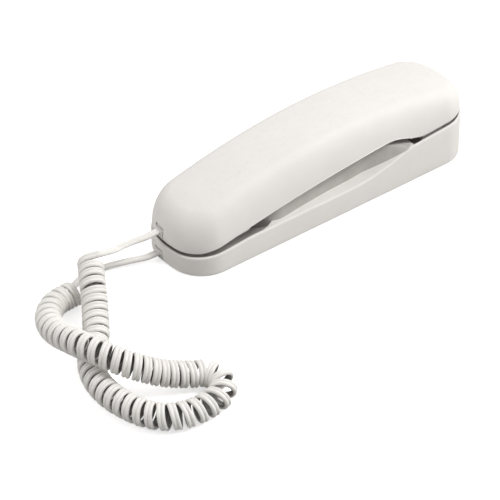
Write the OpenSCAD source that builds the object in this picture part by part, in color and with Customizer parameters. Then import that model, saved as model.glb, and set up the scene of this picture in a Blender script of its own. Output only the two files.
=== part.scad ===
// Slimline wall phone. An arched handset lies face down on a wedge-shaped base,
// and a curly cord joins the two. Millimetres, +Z up. The phone's length runs
// along X with its cord end at -X, and the origin is under the middle of the base.

/* [Base] */
// Length of the base
base_len = 210; // [206:1:214]
// Width of the base
base_w = 56; // [54:0.5:60]
// Radius of the plan's four corners
corner_r = 21.5; // [20:0.5:23]
// How far each end bows out between its corners
end_crown = 6.4; // [5.4:0.2:8]
// Height of the rim at the cord end
rim_low = 12.4; // [12.2:0.1:13.4]
// Height of the rim at the earpiece end
rim_high = 29.3; // [28.4:0.1:30.4]
// Wall of the base
base_wall = 2.4; // [2:0.1:2.8]
// Thickness of the decks that the handset lies over
deck_t = 2; // [1.6:0.1:2.2]
// Thickness of the bottom plate
plate_t = 1.8; // [1.6:0.1:2.2]
// How far the feet stand out below the plate
foot_drop = 0.4; // [0.3:0.1:0.8]

/* [Cradle] */
// Depth of the mouthpiece pocket's floor below the rim, at the cord end
mouth_depth = 2.2; // [1.8:0.1:2.4]
// Depth of the earpiece pocket's floor below the rim
ear_depth = 6.5; // [6:0.1:7.5]
// Where the mouthpiece pocket ends and the saddle begins
saddle_start = -38; // [-42:0.5:-34]
// Where the saddle starts to slope down to the earpiece pocket
saddle_end = 32; // [30:0.5:33]
// Where the earpiece pocket begins
ear_pocket_start = 57; // [56.5:0.5:57.5]
// Width of the saddle between the two finger scoops
saddle_w = 42; // [40:0.5:44]
// Gap between the handset's keypad panel and the saddle
saddle_gap = 2.4; // [2.2:0.1:3]
// Height of the finger scoop's lower edge
scoop_z = 15.6; // [15.2:0.1:16.4]
// Where the finger scoop's edge starts to climb back to the rim
scoop_turn = 4; // [0:0.5:8]
// Where the finger scoop's edge meets the rim again
scoop_end = 54; // [53:0.5:56]
// Slope of the finger scoop's floor, in degrees
scoop_tilt = 8; // [4:0.5:12]

/* [Handset shell] */
// How far the handset's side stands in from the base's side
handset_inset = 0.8; // [0.6:0.1:1.2]
// Parting gap between the rim and the handset's lower edge
handset_gap = 2.3; // [2:0.1:2.5]
// Height of the arch's highest point
handset_top = 54; // [53:0.5:58]
// Where along the phone the arch is highest
peak_place = 20; // [10:1:30]
// How far the arch falls from its peak to the cord end
drop_low = 21.5; // [19:0.5:24]
// How far the arch falls from its peak to the earpiece end
drop_high = 8.5; // [6:0.5:11]
// Width of the rounded shoulder at the cord end
shoulder_low = 13; // [11:0.5:14]
// Width of the rounded shoulder at the earpiece end
shoulder_high = 10; // [9:0.5:13]
// Fullness of the shoulder's curve, 2 for an ellipse
shoulder_power = 2.2; // [2:0.1:2.8]
// Extra height of the crowned top over its edges
top_crown = 0.8; // [0.4:0.1:1.4]
// Wall of the handset's shells
shell_t = 2.2; // [2:0.1:2.6]
// Where the grip's raised lower edge ends, at the earpiece block
grip_end = 36; // [35.5:0.5:38]
// Length over which the grip's edge comes down to the earpiece block's edge
grip_fall = 32; // [30:0.5:33]
// Height of the grip's lower edge over the rim, where the step begins
grip_rise = 9; // [8.6:0.1:10]
// Bow of the grip's lower edge over a straight line
grip_sag = 2.4; // [2.2:0.1:2.8]

/* [Handset face] */
// Cord-end limit of the keypad panel
panel_start = -62; // [-64:0.5:-60]
// Earpiece-end limit of the keypad panel
panel_end = 35; // [34:0.5:35.5]
// How far the panel lies inside the grip's lower edge at its ends
panel_recess = 1.4; // [1.4:0.1:1.8]
// How far the mouthpiece and earpiece plates lie inside the lower edge
rest_recess = 0.4; // [0.3:0.1:0.6]
// Gap between the face's edge and the back shell's wall
face_clear = 0.4; // [0.3:0.1:0.6]
// Centre of the receiver along the phone
ear_place = 77; // [76:0.5:78]
// Radius of the receiver
receiver_r = 17; // [15:0.5:17]
// Height of the receiver's body
receiver_h = 8; // [6:0.5:10]
// Radius of the microphone
mic_r = 4.85; // [4:0.05:5]
// Distance of the screw in the mouthpiece plate from the cord end
mouth_screw_in = 38; // [37:0.5:39]

/* [Keypad] */
// Width of a key, across the handset
key_w = 10; // [8:0.5:11]
// Length of a key, along the handset
key_size = 8.5; // [7:0.5:10]
// Spacing of the keys across the handset
key_pitch_y = 13; // [12.6:0.1:14]
// Spacing of the keys along the handset
key_row_pitch = 14; // [12.5:0.5:14.5]
// Length of a function key, along the handset
func_size = 5; // [4:0.5:6.5]
// How far a key stands out of the panel
key_out = 1.3; // [1:0.1:1.5]
// Travel of a key
key_travel = 1.2; // [0.8:0.1:1.4]

/* [Hook switch] */
// Place of the plunger along the phone
plunger_place = 20; // [19:0.5:21]
// Radius of the plunger
plunger_r = 3; // [2.4:0.1:3.4]
// Travel of the plunger
plunger_travel = 3; // [2:0.5:4]

/* [Sockets and switches] */
// How far the cord sockets lie to the side of the middle
jack_y = 6; // [4:0.5:7]
// Distance between the two wall studs
stud_pitch = 101.6; // [96:0.2:106]
// Radius of the keyholes' narrow slots
stud_r = 2.4; // [2:0.1:3]
// Radius of the keyholes' wide ends
stud_head_r = 5; // [4.5:0.1:5.4]
// Place of the ringer switch along the phone
ringer_place = 46; // [44:0.5:48]
// Place of the dialling switch along the phone
tone_place = 28; // [26:0.5:30]
// Radius of the sounder
sounder_r = 14; // [13:0.5:15]

/* [Cord] */
// Width of the flat cord
cord_w = 3.4; // [2.8:0.1:3.5]
// Thickness of the flat cord
cord_t = 2.4; // [2:0.1:2.5]
// Outside diameter of the curls
curl_d = 14.8; // [13:0.2:15]
// Number of whole curls
curl_count = 56; // [48:1:58]

/* [Hidden] */
$fn = 48;

shell_white = [0.93, 0.92, 0.90];
inner_white = [0.84, 0.83, 0.81];
key_grey = [0.80, 0.80, 0.79];
steel = [0.72, 0.73, 0.75];
circuit_green = [0.16, 0.42, 0.24];
rubber_grey = [0.25, 0.25, 0.26];
jack_black = [0.12, 0.12, 0.13];
plug_clear = [0.88, 0.90, 0.92];
brass = [0.80, 0.65, 0.30];

// Clearances that every fit is made from
slide_clear = 0.3;
fit_clear = 0.1;
rest_clear = 0.3;
part_clear = 0.15;
over = 0.5;
tall = 80;

// ---- Plan outline: rounded corners joined by bowed ends and straight sides ----

// Places along the phone are given for this length and move with the real one
drawn_len = 210;
stretch = base_len / drawn_len;
saddle_x0 = saddle_start * stretch;
saddle_x1 = saddle_end * stretch;
ear_pocket_x = ear_pocket_start * stretch;
scoop_x0 = -70 * stretch;
scoop_x1 = scoop_turn * stretch;
scoop_x2 = scoop_end * stretch;
peak_x = peak_place * stretch;
grip_x1 = grip_end * stretch;
grip_step = grip_fall * stretch;
panel_x0 = panel_start * stretch;
panel_x1 = panel_end * stretch;
ear_x = ear_place * stretch;
key_l = key_size * stretch;
key_pitch_x = key_row_pitch * stretch;
func_l = func_size * stretch;
plunger_x = plunger_place * stretch;
ringer_switch_x = ringer_place * stretch;
tone_switch_x = tone_place * stretch;

half_len = base_len / 2;
half_w = base_w / 2;
end_r = (half_w * half_w + end_crown * end_crown) / (2 * end_crown);
end_cx = half_len - end_r;
corner_cy = half_w - corner_r;
corner_cx = end_cx + sqrt(pow(end_r - corner_r, 2) - corner_cy * corner_cy);
corner_a = atan2(corner_cy, corner_cx - end_cx);
crown_n = 3;
corner_n = 9;
side_n = 15;

// A quarter of the outline, drawn in by d, from the end's middle to the side
function quarter(d) = concat(
    [for (i = [0:crown_n - 1])
        let (a = corner_a * i / crown_n)
        [end_cx + (end_r - d) * cos(a), (end_r - d) * sin(a)]],
    [for (i = [0:corner_n])
        let (a = corner_a + (90 - corner_a) * i / corner_n)
        [corner_cx + (corner_r - d) * cos(a), corner_cy + (corner_r - d) * sin(a)]]);

// Half of the outline on the +Y side, from +X to -X, drawn in by d at +X and by e at -X,
// with n points on its straight
function half_ring(d, e, n) =
    let (q = quarter(d), r = quarter(e), last = len(q) - 1, x0 = q[last].x)
    concat(
        q,
        n < 1 ? [] : [for (i = [1:n])
            let (u = i / (n + 1))
            [x0 - 2 * x0 * u, half_w - d - (e - d) * u]],
        [for (i = [last:-1:0]) [-r[i].x, r[i].y]]);

function ring(d, e, n = 0) =
    let (h = half_ring(d, e, n), last = len(h) - 1)
    concat(h, [for (i = [last - 1:-1:1]) [h[i].x, -h[i].y]]);

module outline(d) {
    polygon(ring(d, d));
}

// An XZ profile run across the phone
module across(points, width = tall) {
    rotate([90, 0, 0])
        linear_extrude(width, center = true)
            polygon(points);
}

// A block by its two corners
module block(low, high) {
    translate(low)
        cube(high - low);
}

// ---- Heights along the phone ----

function rim_z(x) = rim_low + (rim_high - rim_low) * (x + half_len) / base_len;
function seat_z(x) = rim_z(x) + handset_gap;
function rest_z(x) = seat_z(x) + rest_recess;
function arch_z(x) = handset_top - (x < peak_x
    ? drop_low * pow((peak_x - x) / (half_len + peak_x), 2)
    : drop_high * pow((x - peak_x) / (half_len - peak_x), 2));

rim_tilt = atan2(rim_high - rim_low, base_len);
grip_x0 = -half_len + 9;
grip_z1 = seat_z(grip_x1) + grip_rise;
block_x = grip_x1 + grip_step;

// Lower edge of the grip, a shallow bow
function grip_z(x) =
    let (u = (x - grip_x0) / (grip_x1 - grip_x0))
    (1 - u) * seat_z(grip_x0) + u * grip_z1 + 4 * grip_sag * u * (1 - u);

panel_tilt = atan2(grip_z(panel_x1) - grip_z(panel_x0), panel_x1 - panel_x0);
panel_mid = (panel_x0 + panel_x1) / 2;
function panel_z(x) = grip_z(panel_x0) + panel_recess + tan(panel_tilt) * (x - panel_x0);
function saddle_z(x) = panel_z(x) - saddle_gap;

// Puts its children on the keypad panel's outer face, with +Z into the handset
module on_panel(along = 0, aside = 0) {
    translate([panel_mid, 0, panel_z(panel_mid)])
        rotate([0, -panel_tilt, 0])
            translate([along, aside, 0])
                children();
}

// Puts its children on the outer face of the mouthpiece and earpiece plates
module on_rest(x, y = 0) {
    translate([x, y, rest_z(x)])
        rotate([0, -rim_tilt, 0])
            children();
}

// ---- Base: levels ----

plate_top = foot_drop + plate_t;
mouth_deck = rim_low - mouth_depth;
function ear_deck_z(x) = rim_z(x) - ear_depth;
hump_end_z = rest_z(ear_pocket_x) - saddle_gap;
channel_roof = scoop_z - deck_t - 0.7;
saddle_in = saddle_w / 2 - deck_t;
pocket_d = base_wall - 1;
ramp_l = 18;

jack_w = 11;
jack_h = mouth_deck - deck_t - foot_drop - 0.4;
jack_len = 13;
plug_w = 7.6;
plug_h = 5.9;
plug_len = 11.6;
plug_out = 0.4;
socket_clear = 0.15;
base_jack_z = foot_drop + 0.3 + jack_h / 2;
base_jack_x = -half_len + base_wall + 1.2;

pcb_t = 1.6;
pcb_z = plate_top + 2.4;
pcb_x0 = -40 * stretch;
pcb_x1 = 30 * stretch;
pcb_half_w = saddle_in - 1.5;
pcb_hole_in = 2.6;
screw_r = 1.5;
screw_head_r = 2.8;
screw_head_t = 1;
boss_r = 3.4;
base_screw_x = 68 * stretch;
base_screw_y = 18;
foot_x = 82 * stretch;
foot_y = 17;
foot_r = 5;
foot_sink = 1;

flange_r = plunger_r + 1.5;
flange_t = 1.6;
plunger_top = panel_z(plunger_x - plunger_r) - rest_clear;
plunger_roof = saddle_z(plunger_x - flange_r) - deck_t;
flange_top = plunger_roof - plunger_travel - slide_clear;
flange_low = flange_top - flange_t;
spring_wire = 0.7;
spring_r = 3.4;
spring_turns = 7;
spring_seat = plate_top + 2.2;
cup_r = spring_r + 1.8;
cup_pin_r = spring_r - spring_wire / 2 - 0.5;
switch_y = 12;
switch_l = 9.6;
switch_w = 6;
switch_h = 6.4;
button_h = 1.2;
switch_top = pcb_z + pcb_t + switch_h + button_h;

line_jack_s = 12;
line_jack_h = 12.5;
line_flange = 1.4;

knob_l = 3.4;
knob_h = 2.4;
knob_dish = 1.1;
knob_travel = 2;
knob_z = 9.2;
switch_body_l = 13;
switch_body_h = 6;
switch_body_d = 5;

// ---- Handset: levels in the panel's own frame ----

face_t = 2;
flange_edge = 0.9;
key_flange_t = 1;
key_flange_z = face_t + slide_clear;
mat_z = key_flange_z + key_flange_t + key_travel + slide_clear;
mat_t = 0.8;
hpcb_z = mat_z + mat_t;
hpcb_l = 84 * stretch;
hpcb_w = 38;
hpcb_along = 0.4;
stake_r = 1.2;
stake_along = hpcb_l / 2 - 4;
stake_y = 16.2;
rows_top = 24 * stretch;
func_gap = 1.5;
func_row = rows_top - 3 * key_pitch_x - key_l / 2 - func_gap - func_l / 2 - 2;
panel_screw_along = 43.5 * stretch;
weight_l = 64 * stretch;
weight_w = 20;
weight_t = 4.5;
weight_z = hpcb_z + pcb_t + 3.4;
rib_t = 2;
rib_along = 26 * stretch;
holder_t = 1.4;

handset_jack_x = -half_len + handset_inset + shell_t + 2.6;
handset_jack_h = 7.2;
handset_jack_z = rest_z(handset_jack_x) - 0.3 + handset_jack_h / 2;
mouth_screw_x = -half_len + mouth_screw_in;
mouth_screw_y = 9;
mic_x = -half_len + 26;
mic_y = -8;
mic_h = 6.4;
boot_t = 1.4;
boot_h = 5;

// ================= Base =================

module rim_half_space() {
    far = half_len + over;
    across([[-far, 0], [-far, rim_z(-far)], [far, rim_z(far)], [far, 0]]);
}

module body_below_rim() {
    intersection() {
        translate([0, 0, foot_drop])
            linear_extrude(tall)
                outline(0);
        rim_half_space();
    }
}

module pockets() {
    intersection() {
        translate([0, 0, mouth_deck])
            linear_extrude(tall)
                outline(pocket_d);
        across([[-half_len, mouth_deck], [-half_len, tall], [saddle_x0, tall],
            [saddle_x0, scoop_z], [saddle_x0 - ramp_l, mouth_deck]]);
    }
    intersection() {
        linear_extrude(tall)
            outline(pocket_d);
        across([[ear_pocket_x, ear_deck_z(ear_pocket_x)], [half_len, ear_deck_z(half_len)],
            [half_len, tall], [ear_pocket_x, tall]]);
    }
}

// Side view of one finger scoop: level, then a curve that climbs to the rim
scoop_n = 10;
scoop_past = 1.15;
scoop_rise = rim_z(scoop_x2) - scoop_z;
scoop_profile = concat(
    [[scoop_x0, 0]],
    [for (i = [0:scoop_n])
        let (u = scoop_past * i / scoop_n)
        [scoop_x1 + (scoop_x2 - scoop_x1) * u, scoop_rise * u * u]],
    [[scoop_x1 + (scoop_x2 - scoop_x1) * scoop_past, tall], [scoop_x0, tall]]);

module finger_scoops() {
    for (side = [0, 1])
        mirror([0, side, 0])
            translate([0, -half_w, scoop_z])
                rotate([scoop_tilt, 0, 0])
                    across(scoop_profile, 2 * (half_w - saddle_in));
}

// Plan of the saddle, rounded at its start, which widens to wide behind each finger scoop
flare_x = 22 * stretch;
flare_end = 51 * stretch;
saddle_round = 5;
flare_w = half_w - 0.6;
module saddle_plan(wide) {
    far = saddle_w / 2;
    side = concat(
        [for (i = [0:5])
            [saddle_x0 + saddle_round * (1 - cos(18 * i)), far - saddle_round * (1 - sin(18 * i))]],
        [[flare_x, far], [flare_x + 6, far + 1],
            [flare_x + 6 + (flare_end - flare_x - 6) * (wide - far - 1) / (flare_w - far - 1), wide],
            [ear_pocket_x, wide]]);
    polygon(concat(side, [for (i = [len(side) - 1:-1:0]) [side[i].x, -side[i].y]]));
}

// The saddle's top follows the handset's face, and meets the rim behind the scoops
module saddle_solid() {
    saddle_profile = [[saddle_x0, foot_drop], [saddle_x0, saddle_z(saddle_x0)],
        [saddle_x1, saddle_z(saddle_x1)], [ear_pocket_x, hump_end_z], [ear_pocket_x, foot_drop]];
    intersection() {
        across(saddle_profile);
        translate([0, 0, foot_drop])
            linear_extrude(tall)
                saddle_plan(half_w - base_wall - 0.6);
    }
    intersection() {
        across(saddle_profile);
        rim_half_space();
        translate([0, 0, foot_drop])
            linear_extrude(tall)
                saddle_plan(flare_w);
    }
}

// Hollow under the decks, and the taller hollow inside the saddle
module base_hollow() {
    intersection() {
        translate([0, 0, -over])
            linear_extrude(tall)
                outline(base_wall);
        across([[-half_len, -over], [-half_len, mouth_deck - deck_t],
            [saddle_x0 - ramp_l + deck_t, mouth_deck - deck_t], [saddle_x0 + deck_t, channel_roof],
            [ear_pocket_x - deck_t, channel_roof],
            [ear_pocket_x - deck_t, ear_deck_z(ear_pocket_x) - deck_t],
            [half_len, ear_deck_z(half_len) - deck_t], [half_len, -over]]);
    }
    across([[saddle_x0 + deck_t + 0.5, 0], [saddle_x0 + deck_t + 0.5, saddle_z(saddle_x0) - deck_t],
        [saddle_x1 - deck_t / 2, saddle_z(saddle_x1) - deck_t],
        [ear_pocket_x - deck_t, hump_end_z - deck_t - 0.5],
        [ear_pocket_x - deck_t, 0]], 2 * saddle_in);
}

// Ribs in the pockets that the handset's plates lie on
rest_rib_t = 2.4;
ear_rib_y = half_w - 6.6;
module rest_ribs() {
    intersection() {
        union() {
            for (y = [-15, 15])
                block([-half_len + 22, y - rest_rib_t / 2, mouth_deck - over],
                    [-half_len + 38, y + rest_rib_t / 2, tall]);
            for (side = [-1, 1])
                block([ear_x - 10, side * ear_rib_y - rest_rib_t / 2, ear_deck_z(ear_pocket_x) - over],
                    [ear_x + 6, side * ear_rib_y + rest_rib_t / 2, tall]);
        }
        translate([0, 0, -rest_clear])
            across([[-half_len, 0], [-half_len, rest_z(-half_len)],
                [half_len, rest_z(half_len)], [half_len, 0]]);
    }
}

// Four bosses that the bottom plate's screws go into
module base_bosses() {
    for (sx = [-1, 1], sy = [-1, 1])
        intersection() {
            translate([sx * base_screw_x, sy * base_screw_y, plate_top])
                cylinder(r = boss_r, h = tall);
            body_below_rim();
            union() {
                block([-half_len, -half_w, 0], [saddle_x0, half_w, mouth_deck - over]);
                translate([0, 0, -deck_t / 2])
                    across([[ear_pocket_x, 0], [ear_pocket_x, ear_deck_z(ear_pocket_x)],
                        [half_len, ear_deck_z(half_len)], [half_len, 0]]);
            }
        }
}

clip_w = 12;
clip_t = 1.8;
clip_x = half_len - base_wall - 4.2;
clip_low = ear_deck_z(clip_x + clip_t);
clip_h = ear_depth - 1.2;
clip_slot = clip_t + 2 * part_clear;

// Two grooved cheeks that hold the wall hook clip
module clip_cheeks() {
    cheek_t = 1.8;
    for (side = [-1, 1])
        difference() {
            block([clip_x - 1.6, side * (clip_w / 2 + 0.6) - cheek_t / 2, clip_low - over],
                [half_len - pocket_d + over, side * (clip_w / 2 + 0.6) + cheek_t / 2, clip_low + clip_h]);
            block([clip_x - part_clear, -clip_w / 2 - part_clear, clip_low],
                [clip_x + clip_t + part_clear, clip_w / 2 + part_clear, tall]);
        }
}

// A shallow dish in the side, and the slot in its floor that a knob slides in
module knob_slot(x) {
    run = knob_l / 2 + knob_travel + slide_clear;
    block([x - run, half_w - base_wall - over, knob_z - knob_h / 2 - slide_clear],
        [x + run, half_w + over, knob_z + knob_h / 2 + slide_clear]);
    block([x - run - 1, half_w - knob_dish, knob_z - knob_h / 2 - 1.2],
        [x + run + 1, half_w + over, knob_z + knob_h / 2 + 1.2]);
}

// Level pad under the saddle's slope, with the plunger's hole through it
module plunger_guide() {
    translate([plunger_x, 0, plunger_roof])
        cylinder(r = flange_r + 0.8, h = deck_t);
}

// Ribs that hold the cord socket under the deck
module base_jack_holder() {
    difference() {
        block([base_jack_x + 1, jack_y - jack_w / 2 - holder_t, plate_top + 1],
            [base_jack_x + jack_len + holder_t, jack_y + jack_w / 2 + holder_t, mouth_deck - over]);
        block([-half_len, jack_y - jack_w / 2 - part_clear, 0],
            [base_jack_x + jack_len + part_clear, jack_y + jack_w / 2 + part_clear,
                base_jack_z + jack_h / 2]);
    }
}

module base_housing() {
    color(shell_white)
        difference() {
            union() {
                difference() {
                    union() {
                        difference() {
                            body_below_rim();
                            pockets();
                            finger_scoops();
                        }
                        saddle_solid();
                    }
                    base_hollow();
                }
                rest_ribs();
                clip_cheeks();
                base_bosses();
                plunger_guide();
                base_jack_holder();
            }
            for (sx = [-1, 1], sy = [-1, 1])
                translate([sx * base_screw_x, sy * base_screw_y, plate_top - over])
                    cylinder(r = screw_r - fit_clear, h = 5.5 + over);
            translate([plunger_x, 0, 0])
                cylinder(r = plunger_r + slide_clear, h = tall);
            block([-half_len - over, jack_y - plug_w / 2 - 0.4, base_jack_z - plug_h / 2 - 0.4],
                [base_jack_x + over, jack_y + plug_w / 2 + 0.4, base_jack_z + plug_h / 2 + 0.4]);
            knob_slot(ringer_switch_x);
            knob_slot(tone_switch_x);
        }
}

// A keyhole: the stud's head goes in at the wide end and slides to x
module keyhole(x) {
    slot = stud_head_r + 3;
    translate([x, 0, -over])
        cylinder(r = stud_r, h = plate_top + 2 * over);
    block([x - slot, -stud_r, -over], [x, stud_r, plate_top + over]);
    translate([x - slot, 0, -over])
        cylinder(r = stud_head_r, h = plate_top + 2 * over);
}

sounder_x = 80 * stretch;
sounder_h = 4.5;
sounder_slot = 4;
sounder_ring_t = 1.5;
sounder_seat = 1.6;

module base_plate() {
    color(inner_white)
        difference() {
            union() {
                translate([0, 0, foot_drop])
                    linear_extrude(plate_t)
                        outline(base_wall + part_clear);
                // Posts under the circuit board
                for (x = [pcb_x0 + pcb_hole_in, pcb_x1 - pcb_hole_in], y = [-1, 1])
                    translate([x, y * (pcb_half_w - pcb_hole_in), foot_drop])
                        cylinder(r = 2.6, h = pcb_z - foot_drop);
                // Spring seat with its centring pin
                translate([plunger_x, 0, foot_drop]) {
                    cylinder(r = cup_r, h = spring_seat - foot_drop);
                    cylinder(r = cup_pin_r, h = spring_seat - foot_drop + 2.6);
                }
                // Ring that the sounder sits in
                translate([sounder_x, 0, foot_drop])
                    cylinder(r = sounder_r + fit_clear + sounder_ring_t, h = plate_t + sounder_seat + 2);
            }
            translate([sounder_x, 0, plate_top + sounder_seat])
                cylinder(r = sounder_r + fit_clear, h = tall);
            translate([sounder_x, 0, plate_top])
                cylinder(r = sounder_r - 2, h = tall);
            // Sound slots
            for (y = [-2 * sounder_slot:sounder_slot:2 * sounder_slot])
                block([sounder_x - sqrt(pow(sounder_r - 4.5, 2) - y * y), y - 0.7, -over],
                    [sounder_x + sqrt(pow(sounder_r - 4.5, 2) - y * y), y + 0.7, tall]);
            for (x = [pcb_x0 + pcb_hole_in, pcb_x1 - pcb_hole_in], y = [-1, 1])
                translate([x, y * (pcb_half_w - pcb_hole_in), plate_top])
                    cylinder(r = screw_r - 0.4 - fit_clear, h = tall);
            for (sx = [-1, 1], sy = [-1, 1]) {
                translate([sx * base_screw_x, sy * base_screw_y, -over])
                    cylinder(r = screw_r + 0.2, h = tall);
                translate([sx * base_screw_x, sy * base_screw_y, -over])
                    cylinder(r = screw_head_r + 0.3, h = foot_drop + screw_head_t - 0.1 + over);
                translate([sx * foot_x, sy * foot_y, -over])
                    cylinder(r = foot_r + part_clear, h = foot_drop + foot_sink + over);
            }
            keyhole(stud_pitch / 2);
            keyhole(-stud_pitch / 2);
            block([-line_jack_s / 2 - part_clear, -line_jack_s / 2 - part_clear, -over],
                [line_jack_s / 2 + part_clear, line_jack_s / 2 + part_clear, tall]);
            block([-half_len, jack_y - jack_w / 2 - part_clear, -over],
                [base_jack_x + jack_len + part_clear, jack_y + jack_w / 2 + part_clear, tall]);
        }
}

// A pan-head screw, head down, with the underside of its head at z = 0
module screw(shaft_r, shaft_l, head_r, head_t) {
    difference() {
        union() {
            cylinder(r = shaft_r, h = shaft_l);
            translate([0, 0, -head_t])
                cylinder(r = head_r, h = head_t);
        }
        for (a = [0, 90])
            rotate([0, 0, a])
                block([-head_r * 0.6, -0.3, -head_t - over], [head_r * 0.6, 0.3, -head_t * 0.4]);
    }
}

module base_screws() {
    color(steel)
        for (sx = [-1, 1], sy = [-1, 1])
            translate([sx * base_screw_x, sy * base_screw_y, foot_drop + screw_head_t - 0.1])
                screw(screw_r - fit_clear, plate_t + 4, screw_head_r, screw_head_t);
}

module rubber_feet() {
    color(rubber_grey)
        for (sx = [-1, 1], sy = [-1, 1])
            translate([sx * foot_x, sy * foot_y, 0])
                rotate_extrude()
                    polygon([[0, 0], [foot_r - 0.8, 0], [foot_r, foot_drop], [foot_r, foot_drop + foot_sink],
                        [0, foot_drop + foot_sink]]);
}

module base_pcb() {
    color(circuit_green)
        difference() {
            union() {
                block([pcb_x0, -pcb_half_w, pcb_z], [pcb_x1, pcb_half_w, pcb_z + pcb_t]);
                // Bridge, transformer and capacitors of the line circuit
                translate([0, 0, pcb_z + pcb_t]) {
                    block([pcb_x0 + 6, 2 - pcb_half_w + 3, -fit_clear], [pcb_x0 + 16, 2 - pcb_half_w + 13, 8]);
                    block([pcb_x0 + 20, 3, -fit_clear], [pcb_x0 + 28, 13, 3]);
                    for (y = [-12, -6])
                        translate([pcb_x0 + 24, y, -fit_clear])
                            cylinder(r = 2.5, h = 7);
                }
            }
            block([-line_jack_s / 2 - line_flange - 0.4, -line_jack_s / 2 - line_flange - 0.4, 0],
                [line_jack_s / 2 + line_flange + 0.4, line_jack_s / 2 + line_flange + 0.4, tall]);
            translate([plunger_x, 0, 0])
                cylinder(r = cup_r + 0.6, h = tall);
            for (x = [pcb_x0 + pcb_hole_in, pcb_x1 - pcb_hole_in], y = [-1, 1])
                translate([x, y * (pcb_half_w - pcb_hole_in), 0])
                    cylinder(r = screw_r - 0.2, h = tall);
        }
}

module pcb_screws() {
    color(steel)
        for (x = [pcb_x0 + pcb_hole_in, pcb_x1 - pcb_hole_in], y = [-1, 1])
            translate([x, y * (pcb_half_w - pcb_hole_in), pcb_z + pcb_t])
                mirror([0, 0, 1])
                    screw(screw_r - 0.4 - fit_clear, pcb_t + 2, screw_head_r - 0.6, screw_head_t);
}

module hook_plunger() {
    arm_w = 4;
    color(inner_white)
        translate([plunger_x, 0, 0]) {
            translate([0, 0, flange_low])
                cylinder(r = plunger_r, h = plunger_top - flange_low - 0.6);
            translate([0, 0, plunger_top - 0.6 - over])
                cylinder(r1 = plunger_r, r2 = plunger_r - 0.5, h = 0.6 + over);
            translate([0, 0, flange_low])
                cylinder(r = flange_r, h = flange_t);
            translate([0, 0, flange_low - 4])
                cylinder(r = cup_pin_r, h = 4 + over);
            block([-arm_w / 2, 0, flange_low], [arm_w / 2, switch_y + 1.6, flange_top]);
            block([-arm_w / 2, switch_y - 1.6, switch_top + rest_clear],
                [arm_w / 2, switch_y + 1.6, flange_top]);
        }
}

module hook_switch() {
    color(jack_black) {
        block([plunger_x - switch_l / 2, switch_y - switch_w / 2, pcb_z + pcb_t],
            [plunger_x + switch_l / 2, switch_y + switch_w / 2, pcb_z + pcb_t + switch_h]);
        translate([plunger_x, switch_y, pcb_z + pcb_t + switch_h - over])
            cylinder(r = 1.2, h = button_h + over);
    }
}

module wall_hook_clip() {
    lip = 1.6;
    color(shell_white) {
        block([clip_x, -clip_w / 2, clip_low], [clip_x + clip_t, clip_w / 2, clip_low + clip_h]);
        block([clip_x - lip, -clip_w / 4, clip_low], [clip_x + over, clip_w / 4, clip_low + clip_t]);
    }
}

// A small modular socket that opens to -X, with its front at x = 0
module cord_socket(h) {
    latch_w = 3.4;
    difference() {
        block([0, -jack_w / 2, -h / 2], [jack_len, jack_w / 2, h / 2]);
        block([-over, -plug_w / 2 - socket_clear, -plug_h / 2 - socket_clear],
            [plug_len - plug_out, plug_w / 2 + socket_clear, plug_h / 2 + socket_clear]);
        block([-over, -latch_w / 2, plug_h / 2 - over], [4, latch_w / 2, h / 2 - 0.4]);
    }
}

// The plug for it, with its cord end at x = 0 and its contacts at +X
module cord_plug() {
    difference() {
        block([0, -plug_w / 2, -plug_h / 2], [plug_len, plug_w / 2, plug_h / 2]);
        for (y = [-1.53, -0.51, 0.51, 1.53])
            block([plug_len - 3, y - 0.18, -plug_h / 2 - over], [plug_len + over, y + 0.18, -plug_h / 2 + 1]);
        block([-over, -plug_w / 2 - over, plug_h / 2 - 1.2], [2.4, plug_w / 2 + over, plug_h / 2 + over]);
    }
}

module base_cord_jack() {
    color(jack_black)
        translate([base_jack_x, jack_y, base_jack_z])
            cord_socket(jack_h);
}

base_plug_x = -half_len - plug_out;
handset_plug_x = -half_len + handset_inset - 0.2;

module base_cord_plug() {
    color(plug_clear)
        translate([base_plug_x, jack_y, base_jack_z])
            cord_plug();
}

module line_jack() {
    socket_w = 9.8;
    socket_h = 6.7;
    color(jack_black)
        difference() {
            union() {
                block([-line_jack_s / 2, -line_jack_s / 2, foot_drop],
                    [line_jack_s / 2, line_jack_s / 2, foot_drop + line_jack_h]);
                block([-line_jack_s / 2 - line_flange, -line_jack_s / 2 - line_flange, plate_top],
                    [line_jack_s / 2 + line_flange, line_jack_s / 2 + line_flange, plate_top + 1.2]);
            }
            block([-socket_h / 2, -socket_w / 2, -over], [socket_h / 2, socket_w / 2, foot_drop + 10]);
            block([-socket_h / 2 - 1.6, -1.8, -over], [0, 1.8, foot_drop + 4.5]);
        }
}

module sounder() {
    color(brass)
        translate([sounder_x, 0, plate_top + sounder_seat])
            difference() {
                cylinder(r = sounder_r, h = sounder_h);
                translate([0, 0, sounder_h - 1])
                    cylinder(r = 2, h = tall);
            }
}

module slide_knob(x) {
    face = half_w - 0.1;
    color(key_grey)
        difference() {
            union() {
                block([x - knob_l / 2, half_w - base_wall - 1, knob_z - knob_h / 2],
                    [x + knob_l / 2, face, knob_z + knob_h / 2]);
                block([x - knob_l / 2 - 1.2, half_w - base_wall - 1.2, knob_z - knob_h / 2 - 1],
                    [x + knob_l / 2 + 1.2, half_w - base_wall - slide_clear, knob_z + knob_h / 2 + 1]);
            }
            for (dx = [-1, 0, 1])
                block([x + dx - 0.25, face - 0.4, 0], [x + dx + 0.25, half_w + over, tall]);
        }
}

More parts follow.
